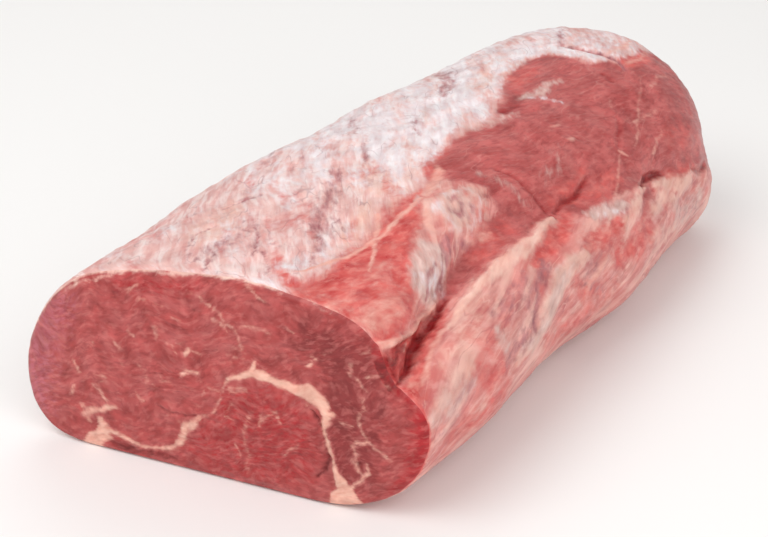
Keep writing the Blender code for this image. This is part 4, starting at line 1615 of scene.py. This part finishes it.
    def lines(self, tree: Any, vein: Vein, number: int) -> Any:
        """How much of each line shows: lines run where the noise crosses its middle, in some patches only.

        Args:
            tree: the node tree.
            vein: the lines.
            number: their place in the stack.

        Returns:
            A socket with the share, from 0 to the lines' strength.
        """
        shift = self.MARK_START + self.MARK_STEP * number
        noise = self.streaks(tree, vein.grain, vein.width, vein.length, shift, 1.6)
        signed = add_node(tree, "ShaderNodeMath", {"operation": "SUBTRACT"}, {0: noise, 1: 0.5})
        away = add_node(tree, "ShaderNodeMath", {"operation": "ABSOLUTE"}, {0: signed.outputs[0]})
        line = add_node(tree, "ShaderNodeMapRange", {}, {
            "Value": away.outputs[0], "From Max": vein.thin, "To Min": vein.strength, "To Max": 0.0,
        })
        shift = self.PATCH_START + self.PATCH_STEP * number
        patch = self.streaks(tree, vein.grain, self.vein_patch, self.vein_patch * 1.5, shift, 2.0)
        here = add_node(tree, "ShaderNodeMapRange", {"interpolation_type": "SMOOTHSTEP"}, {
            "Value": patch,
            "From Min": vein.level - self.vein_patch_fade,
            "From Max": vein.level + self.vein_patch_fade,
        })
        held = add_node(tree, "ShaderNodeMath", {"operation": "MULTIPLY"}, {
            0: line.outputs[0], 1: here.outputs[0],
        })
        return held.outputs[0]

    def marked(self, tree: Any, mark: Fleck | Vein, share: Any, colour: Any) -> Any:
        """Lays flecks or lines over the colour so far.

        Args:
            tree: the node tree.
            mark: the flecks or the lines.
            share: the socket that says where they show.
            colour: the colour so far.

        Returns:
            The socket of the new colour.
        """
        if mark.tissue is not None:
            cover = add_node(tree, "ShaderNodeAttribute", {"attribute_name": mark.tissue.value}, {})
            held = add_node(tree, "ShaderNodeMath", {"operation": "MULTIPLY"}, {
                0: share, 1: cover.outputs["Fac"],
            })
            share = held.outputs[0]
        mixed = add_node(tree, "ShaderNodeMix", {"data_type": "RGBA"}, {
            0: share, 6: colour, 7: linear(mark.colour),
        })
        return mixed.outputs[2]

    def mottled(self, tree: Any, colour: Any) -> Any:
        """Darkens and lightens the colour in soft patches, as the flesh under the surface does."""
        size = self.mottle_size
        patches = self.streaks(tree, self.bump_grain, size, size * 1.4, self.MOTTLE_START, 2.0)
        value = add_node(tree, "ShaderNodeMapRange", {}, {
            "Value": patches,
            "From Min": 0.3,
            "From Max": 0.7,
            "To Min": 1 - self.mottle,
            "To Max": 1 + self.mottle,
        })
        toned = add_node(tree, "ShaderNodeHueSaturation", {}, {"Value": value.outputs[0], "Color": colour})
        return toned.outputs[0]

    def bumped(self, tree: Any) -> Any:
        """The relief that is finer than the mesh: fibre ends and threads, as a bent normal."""
        fine = self.streaks(
            tree, self.bump_grain, self.bump_width, self.bump_length, self.BUMP_START, 4.0
        )
        bump = add_node(tree, "ShaderNodeBump", {}, {
            "Strength": 1.0, "Distance": self.bump_height * MM, "Height": fine,
        })
        return bump.outputs[0]


# Fat and silverskin scatter light and look matt and milky; the bare muscle is darker and glossier.
DRESSED_BEEF = RawBeef(
    "raw_beef_fat_and_silverskin",
    (
        Layer(None, "#C46864", "#DC9088", Grain.FAT, 8.0, 50.0, roughness=0.4),
        Fleck(None, "#E8B9AC", Grain.FAT, 7.0, 44.0, 0.54, 0.16, 0.75),
        Fleck(None, "#B45659", Grain.FAT, 4.5, 34.0, 0.59, 0.14, 0.6),
        Fleck(None, "#E3AAA2", Grain.LEAN, 4.0, 8.0, 0.58, 0.14, 0.45),
        Vein(None, "#A04C54", Grain.FAT, 10.0, 36.0, 0.022, 0.5, 0.38),
        Vein(None, "#EFC6B8", Grain.FAT, 8.0, 36.0, 0.022, 0.5, 0.35),
        Layer(Tissue.LEAN, "#A24443", "#C05E5C", Grain.LEAN, 8.0, 16.0, 0.5, 0.36),
        Fleck(Tissue.LEAN, "#CF7672", Grain.LEAN, 11.0, 20.0, 0.55, 0.16, 0.45),
        Fleck(Tissue.LEAN, "#8A3336", Grain.LEAN, 2.4, 5.0, 0.59, 0.13, 0.4),
        Fleck(Tissue.LEAN, "#D0827B", Grain.LEAN, 2.0, 6.0, 0.62, 0.12, 0.3),
        Vein(Tissue.LEAN, "#D3928A", Grain.LEAN, 14.0, 34.0, 0.014, 0.54, 0.3),
        Vein(Tissue.LEAN, "#802D2F", Grain.LEAN, 12.0, 26.0, 0.014, 0.54, 0.3),
        Layer(Tissue.FAT, "#D89E98", "#EAC1BA", Grain.FAT, 8.0, 40.0, 0.6, 0.46),
        Fleck(Tissue.FAT, "#F1DDD9", Grain.FAT, 5.0, 26.0, 0.56, 0.16, 0.7),
        Fleck(Tissue.FAT, "#CC8885", Grain.FAT, 3.4, 16.0, 0.6, 0.12, 0.5),
        Layer(Tissue.CREAM, "#DEA495", "#ECC2B4", Grain.FAT, 4.0, 20.0, 0.6, 0.44),
        Layer(Tissue.BLOOD, "#BA3D3D", "#DB6962", Grain.LEAN, 6.0, 10.0, 0.6, 0.34),
        Fleck(Tissue.BLOOD, "#E58F85", Grain.LEAN, 3.4, 6.0, 0.57, 0.14, 0.5),
        Layer(Tissue.GREY, "#C3978F", "#E2C2BA", Grain.FAT, 3.4, 8.0, 0.6, 0.42),
        Layer(Tissue.WHITE, "#DCC8CB", "#F3ECEE", Grain.FAT, 5.0, 16.0, 0.7, 0.44),
        Fleck(Tissue.FAT, "#F7F0F0", Grain.FAT, 3.0, 10.0, 0.6, 0.12, 0.25),
        Vein(Tissue.FAT, "#8F6168", Grain.FAT, 12.0, 24.0, 0.016, 0.54, 0.42),
        Vein(Tissue.FAT, "#A87D82", Grain.LEAN, 9.0, 14.0, 0.016, 0.52, 0.3),
        Layer(Tissue.PURPLE, "#8F4F56", "#C28283", Grain.FAT, 3.4, 9.0, 0.8, 0.4),
        Layer(Tissue.THREAD, "#DF968A", "#EBB5A6", Grain.LEAN, 2.4, 9.0, 0.5, 0.4),
        # the dark red of the seam and the creases, partly painted shade
        Layer(Tissue.DEEP, "#700A0D", "#9C1E21", Grain.LEAN, 2.4, 7.0, 0.5, 0.34),
    ),
)
# Cut across the grain, muscle shows its bundles' ends as short dashes, and its fat as soft-edged cream lines.
CUT_BEEF = RawBeef(
    "raw_beef_cut_across_grain",
    (
        Layer(None, "#973938", "#B7514F", Grain.CUT, 6.0, 9.0, roughness=0.38),
        Fleck(None, "#C66E6C", Grain.CUT, 8.0, 13.0, 0.55, 0.18, 0.4),
        Layer(Tissue.LEAN, "#7C2B2B", "#953C3C", Grain.CUT, 4.0, 7.0, 0.6, 0.38),
        Layer(Tissue.PURPLE, "#A84F5A", "#C1707B", Grain.CUT, 4.0, 8.0, 0.7, 0.38),
        Layer(Tissue.BLOOD, "#98191F", "#B93236", Grain.CUT, 4.0, 8.0, 0.7, 0.34),
        Fleck(None, "#7E2B2D", Grain.CUT, 2.2, 4.6, 0.58, 0.14, 0.4),
        Fleck(None, "#CB7772", Grain.CUT, 2.4, 4.6, 0.6, 0.14, 0.38),
        Vein(None, "#7C2B2C", Grain.CUT, 4.5, 9.0, 0.03, 0.55, 0.35),
        # the dark red of the cut's creases, partly painted shade
        Layer(Tissue.DEEP, "#641A1B", "#80292A", Grain.CUT, 1.6, 4.0, 0.5, 0.36),
        Layer(Tissue.THREAD, "#BC615D", "#CF817A", Grain.CUT, 2.4, 5.0, 0.7, 0.4),
        Layer(Tissue.CREAM, "#DE9F8E", "#EDBDAA", Grain.CUT, 2.4, 5.0, 0.45, 0.42),
        Layer(Tissue.FAT, "#DFA89C", "#ECC8BA", Grain.CUT, 2.4, 5.0, 0.6, 0.44),
    ),
    tear_size=1.8,
    vein_patch=12.0,
    bump_grain=Grain.CUT,
    bump_length=2.4,
    bump_height=0.1,
    mottle_size=6.0,
    mottle=0.1,
)


@dataclass
class DressedRoll:
    """The roll in its coats, divided into closed pieces that meet edge to edge.

    The heart is the point, in millimetres, to which each piece is closed. The first rim_rows_cut rows of
    the wall look like the front cut, and the first rim_rows_on_cut belong to its piece. The floors are the
    shares of the way round, from the middle of the underside, at which the ribs' side ends on the left and
    starts on the right.
    """

    form: RollForm = field(default_factory=RollForm)
    wall_coat: WallCoat = field(default_factory=WallCoat)
    front_coat: CutCoat = field(
        default_factory=lambda: CutCoat(
            FRONT_CUT_MARKS,
            (
                Muscle(-40.0, 44.0, 46.0, 34.0, 2.2), Muscle(16.0, 26.0, 28.0, 22.0, 2.8),
                Muscle(28.0, 68.0, 46.0, 14.0, 1.3), Muscle(67.0, 30.0, 18.0, 26.0, 1.8),
            ),
            seed=61,
        )
    )
    back_coat: CutCoat = field(
        default_factory=lambda: CutCoat(
            BACK_CUT_MARKS,
            (
                Muscle(14.0, 52.0, 40.0, 28.0, 2.6), Muscle(-22.0, 46.0, 16.0, 26.0, 1.6),
                Muscle(46.0, 36.0, 14.0, 22.0, 1.6),
            ),
            seed=83,
        )
    )
    heart: tuple[float, float, float] = (0.0, 0.0, 45.0)
    rim_rows_cut: int = 3
    rim_rows_on_cut: int = 2
    left_floor: float = 0.16
    right_floor: float = 0.87

    def lay_out(self) -> None:
        """Makes the grid: the front cut from its middle out, the wall, and the back cut to its middle."""
        form = self.form
        form.measure()
        form.lay_out()
        skin = form.skin
        coat = self.wall_coat.worn(skin)
        wall = form.raised_wall(coat.relief)
        rim = wall[: self.rim_rows_cut + 1]
        rim_coat = self.front_coat.worn(rim[..., 0], rim[..., 2], np.zeros(rim.shape[:2]))
        fat = coat.cover[Tissue.FAT][: len(rim)]
        for tissue, cover in coat.cover.items():
            cover[: len(rim)] = np.maximum(cover[: len(rim)], rim_coat.cover[tissue] * (1 - fat))
        front, front_coat = self.cut_face(wall[0], self.front_coat, -1.0)
        back, back_coat = self.cut_face(wall[-1], self.back_coat, 1.0)
        self.points = np.concatenate([front[::-1], wall, back])
        self.cover = {
            tissue: np.concatenate([front_coat.cover[tissue][::-1], cover, back_coat.cover[tissue]])
            for tissue, cover in coat.cover.items()
        }
        self.grains = {
            Grain.FAT: np.concatenate([front_coat.fat_grain[::-1], coat.fat_grain, back_coat.fat_grain]),
            Grain.LEAN: np.concatenate([front_coat.lean_grain[::-1], coat.lean_grain, back_coat.lean_grain]),
            Grain.CUT: self.front_coat.grain(self.points[..., 0], self.points[..., 2]),
        }
        self.normals = form.outward(self.points)
        self.wall_start = len(front)
        self.wall_end = len(front) + len(wall)

    def cut_face(self, rim: Array, coat: CutCoat, outward: float) -> tuple[Array, Coat]:
        """A cut face with its coat's relief.

        Args:
            rim: the points of the cut's rim.
            coat: the coat.
            outward: -1 for the front cut and 1 for the back cut.

        Returns:
            The rows from the rim in, the rim not counted, and what they wear.
        """
        plain = self.form.cut(rim, self.form.cut_rows)
        from_rim = np.linalg.norm(plain - rim, axis=-1)
        worn = coat.worn(plain[..., 0], plain[..., 2], from_rim)
        along = rim[rim[:, 0].argmax()] - rim[rim[:, 0].argmin()]
        facing = np.array([-along[1], along[0], 0.0]) / math.hypot(along[0], along[1]) * outward
        return plain + facing * worn.relief[..., None], worn

    def piece(
        self, name: str, rows: tuple[int, int], columns: Array, materials: Sequence[Any]
    ) -> bpy.types.Object:
        """One closed piece: a block of the grid, closed by a fan to the middle of the roll.

        Args:
            name: the piece's name.
            rows: the first and the last row, both taken in.
            columns: the columns in order. All of them make a block that wraps round.
            materials: the materials of the cut faces and of the wall.

        Returns:
            The object.
        """
        picked = np.arange(rows[0], rows[1] + 1)
        wraps = len(columns) == self.form.columns
        high, wide = len(picked), len(columns)
        index = np.arange(high * wide).reshape(high, wide)
        ahead = np.roll(index, -1, axis=1) if wraps else index[:, 1:]
        here = index if wraps else index[:, :-1]
        quads = np.stack([here[:-1], ahead[:-1], ahead[1:], here[1:]], axis=-1).reshape(-1, 4)
        block = np.ix_(picked, columns)
        points = self.points[block].reshape(-1, 3)
        heart = len(points)
        triangles = []
        extra = [np.array(self.heart)]
        if wraps:
            at_front = rows[0] == 0
            middle, edge = (index[0], index[-1]) if at_front else (index[-1], index[0])
            extra.append(points[middle].mean(axis=0))
            after = np.roll(middle, -1)
            pole = np.full(wide, heart + 1)
            fan = [after, middle, pole] if at_front else [middle, after, pole]
            triangles.append(np.stack(fan, axis=1))
            after = np.roll(edge, -1)
            centre = np.full(wide, heart)
            inner = np.stack([edge, after, centre] if at_front else [after, edge, centre], axis=1)
        else:
            border = np.concatenate([index[0], index[1:, -1], index[-1, -2::-1], index[-2:0:-1, 0]])
            inner = np.stack([np.roll(border, -1), border, np.full(len(border), heart)], axis=1)
        outer = len(quads) * 4 + sum(len(t) for t in triangles) * 3
        triangles.append(inner)
        points = np.concatenate([points, extra])
        mesh = self.filled(name, points, quads, np.concatenate(triangles))
        self.dress(mesh, block, picked, quads, wide, outer)
        for material in materials:
            mesh.materials.append(material)
        obj = bpy.data.objects.new(name, mesh)
        bpy.context.scene.collection.objects.link(obj)
        LOG.info("%s: %d triangles", name, len(quads) * 2 + sum(len(t) for t in triangles))
        return obj

    def filled(self, name: str, points: Array, quads: Array, triangles: Array) -> bpy.types.Mesh:
        """A mesh from arrays.

        Args:
            name: the mesh's name.
            points: the points, in millimetres.
            quads: the corners of the four-sided faces.
            triangles: the corners of the three-sided faces.

        Returns:
            The mesh, in metres.
        """
        corners = np.concatenate([quads.ravel(), triangles.ravel()]).astype(np.int32)
        sizes = np.concatenate([np.full(len(quads), 4), np.full(len(triangles), 3)])
        mesh = bpy.data.meshes.new(name)
        mesh.vertices.add(len(points))
        mesh.vertices.foreach_set("co", (points * MM).astype(np.float32).ravel())
        mesh.loops.add(len(corners))
        mesh.loops.foreach_set("vertex_index", corners)
        mesh.polygons.add(len(sizes))
        mesh.polygons.foreach_set("loop_start", np.concatenate([[0], np.cumsum(sizes)[:-1]]).astype(np.int32))
        mesh.update(calc_edges=True)
        return mesh

    def dress(
        self, mesh: bpy.types.Mesh, block: Any, picked: Array, quads: Array, wide: int, outer: int
    ) -> None:
        """Gives a mesh its tissues, its grains, its two materials and its smooth normals.

        Args:
            mesh: the mesh.
            block: the part of the grid that it shows.
            picked: the grid's rows in it.
            quads: its four-sided faces.
            wide: how many columns it has.
            outer: how many face corners lie on the outside.
        """
        spare = len(mesh.vertices) - self.cover[Tissue.FAT][block].size
        for tissue, cover in self.cover.items():
            values = np.concatenate([cover[block].ravel(), np.zeros(spare)])
            attribute = mesh.attributes.new(tissue.value, "FLOAT", "POINT")
            attribute.data.foreach_set("value", values.astype(np.float32))
        for grain, places in self.grains.items():
            vectors = np.concatenate([places[block].reshape(-1, 3), np.zeros((spare, 3))])
            attribute = mesh.attributes.new(grain.value, "FLOAT_VECTOR", "POINT")
            attribute.data.foreach_set("vector", vectors.astype(np.float32).ravel())
        row = picked[np.arange(len(mesh.vertices) - spare) // wide]
        on_wall = (row >= self.wall_start + self.rim_rows_cut) & (row < self.wall_end)
        is_wall = np.ones(len(mesh.polygons), np.int32)
        is_wall[: len(quads)] = on_wall[quads].all(axis=1)
        pole = len(mesh.vertices) - 1
        corners = np.zeros(len(mesh.loops), np.int32)
        mesh.loops.foreach_get("vertex_index", corners)
        if spare == 2:
            fans = corners[len(quads) * 4 :].reshape(-1, 3)
            is_wall[len(quads) :] = ~(fans == pole).any(axis=1)
        mesh.polygons.foreach_set("material_index", is_wall)
        mesh.polygons.foreach_set("use_smooth", np.ones(len(mesh.polygons), bool))
        normals = np.concatenate([self.normals[block].reshape(-1, 3), np.zeros((spare, 3))])
        if spare == 2:
            near_pole = normals[corners[len(quads) * 4 : outer].reshape(-1, 3)[:, 0]]
            normals[pole] = near_pole.mean(axis=0)
        per_corner = normals[corners]
        per_corner[outer:] = 0.0
        mesh.normals_split_custom_set([tuple(n) for n in per_corner.tolist()])


def look_from() -> None:
    """Places the camera at the photograph's view of the roll.

    Pixels are the photograph's. The foot of the front cut is the place that the view is hung on: it is
    known in the roll's millimetres and in pixels, and so is its distance from the camera.
    """
    image_width, image_height = 768, 537
    azimuth, elevation = math.radians(30.0), math.radians(25.5)
    focal_pixels = 1603.0
    foot_pixel = (305.0, 498.7)
    foot_place = Vector((35.1, -173.5, 0.0))
    distance = 639.1
    back = Vector((
        math.sin(azimuth) * math.cos(elevation),
        -math.cos(azimuth) * math.cos(elevation),
        math.sin(elevation),
    ))
    right = Vector((math.cos(azimuth), math.sin(azimuth), 0.0))
    up = back.cross(right)
    across = (foot_pixel[0] - image_width / 2) / focal_pixels * distance
    rise = (image_height / 2 - foot_pixel[1]) / focal_pixels * distance
    place = (foot_place - right * across - up * rise + back * distance) * MM
    data = bpy.data.cameras.new("camera")
    data.sensor_width = 36.0
    data.lens = focal_pixels / image_width * data.sensor_width
    data.clip_start = 0.02
    camera = bpy.data.objects.new("camera", data)
    camera.matrix_world = Matrix.Translation(place) @ Matrix((right, up, back)).transposed().to_4x4()
    bpy.context.scene.collection.objects.link(camera)
    bpy.context.scene.camera = camera


def lit() -> None:
    """A pale floor, an even pale world, and three large soft lamps above: two in front and one behind."""
    half, floor_gap = 3.0, 0.0004
    corners = [(-half, -half, 0), (half, -half, 0), (half, half, 0), (-half, half, 0)]
    mesh = bpy.data.meshes.new("floor")
    mesh.from_pydata(corners, [], [(0, 1, 2, 3)])
    floor = bpy.data.objects.new("floor", mesh)
    bpy.context.scene.collection.objects.link(floor)
    floor.location.z = CAD_BOX[0][2] - floor_gap
    material = bpy.data.materials.new("white_studio_sweep")
    material.use_nodes = True
    shader = material.node_tree.nodes["Principled BSDF"]
    shader.inputs["Base Color"].default_value = linear("#F4F3F2")
    shader.inputs["Roughness"].default_value = 0.9
    mesh.materials.append(material)
    world = bpy.data.worlds.new("studio")
    world.use_nodes = True
    background = world.node_tree.nodes["Background"]
    background.inputs["Color"].default_value = linear("#FFFDFB")
    background.inputs["Strength"].default_value = 0.47
    bpy.context.scene.world = world
    bpy.context.scene.view_settings.view_transform = "Standard"
    target, lamp_size = Vector((0.0, 0.0, 0.05)), 1.4
    for name, place, power, glints in (
        ("key", (-0.45, -1.15, 1.5), 17.0, True),
        ("fill", (1.4, -0.8, 1.1), 16.0, True),
        ("back", (-0.8, 1.2, 1.4), 9.0, False),
    ):
        data = bpy.data.lights.new(name, "AREA")
        data.size = lamp_size
        data.energy = power
        lamp = bpy.data.objects.new(name, data)
        lamp.location = place
        lamp.visible_glossy = glints
        lamp.rotation_euler = (target - Vector(place)).to_track_quat("-Z", "Y").to_euler()
        bpy.context.scene.collection.objects.link(lamp)


def main() -> None:
    """Builds the roll, its stage and its camera."""
    logging.basicConfig(level=logging.INFO)
    roll = DressedRoll()
    roll.lay_out()
    form = roll.form
    cut, dressed = CUT_BEEF.made(), DRESSED_BEEF.made()
    columns = np.arange(form.columns)
    left, right = round(roll.left_floor * form.columns), round(roll.right_floor * form.columns)
    first = roll.wall_start + roll.rim_rows_on_cut
    last = roll.wall_end - form.tail_rows
    blocks = (
        ("front_cut", (0, first), columns),
        ("fat_cover", (first, last), np.arange(left, form.seam_column + 1)),
        ("flank", (first, last), np.arange(form.seam_column, right + 1)),
        ("rib_side", (first, last), np.arange(right, left + form.columns + 1) % form.columns),
        ("back_end", (last, len(roll.points) - 1), columns),
    )
    for name, rows, picked in blocks:
        piece = roll.piece(name, rows, picked, (cut, dressed))
        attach(piece, BODY)
        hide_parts(NODE)
    lit()
    look_from()


if __name__ == "__main__":
    main()
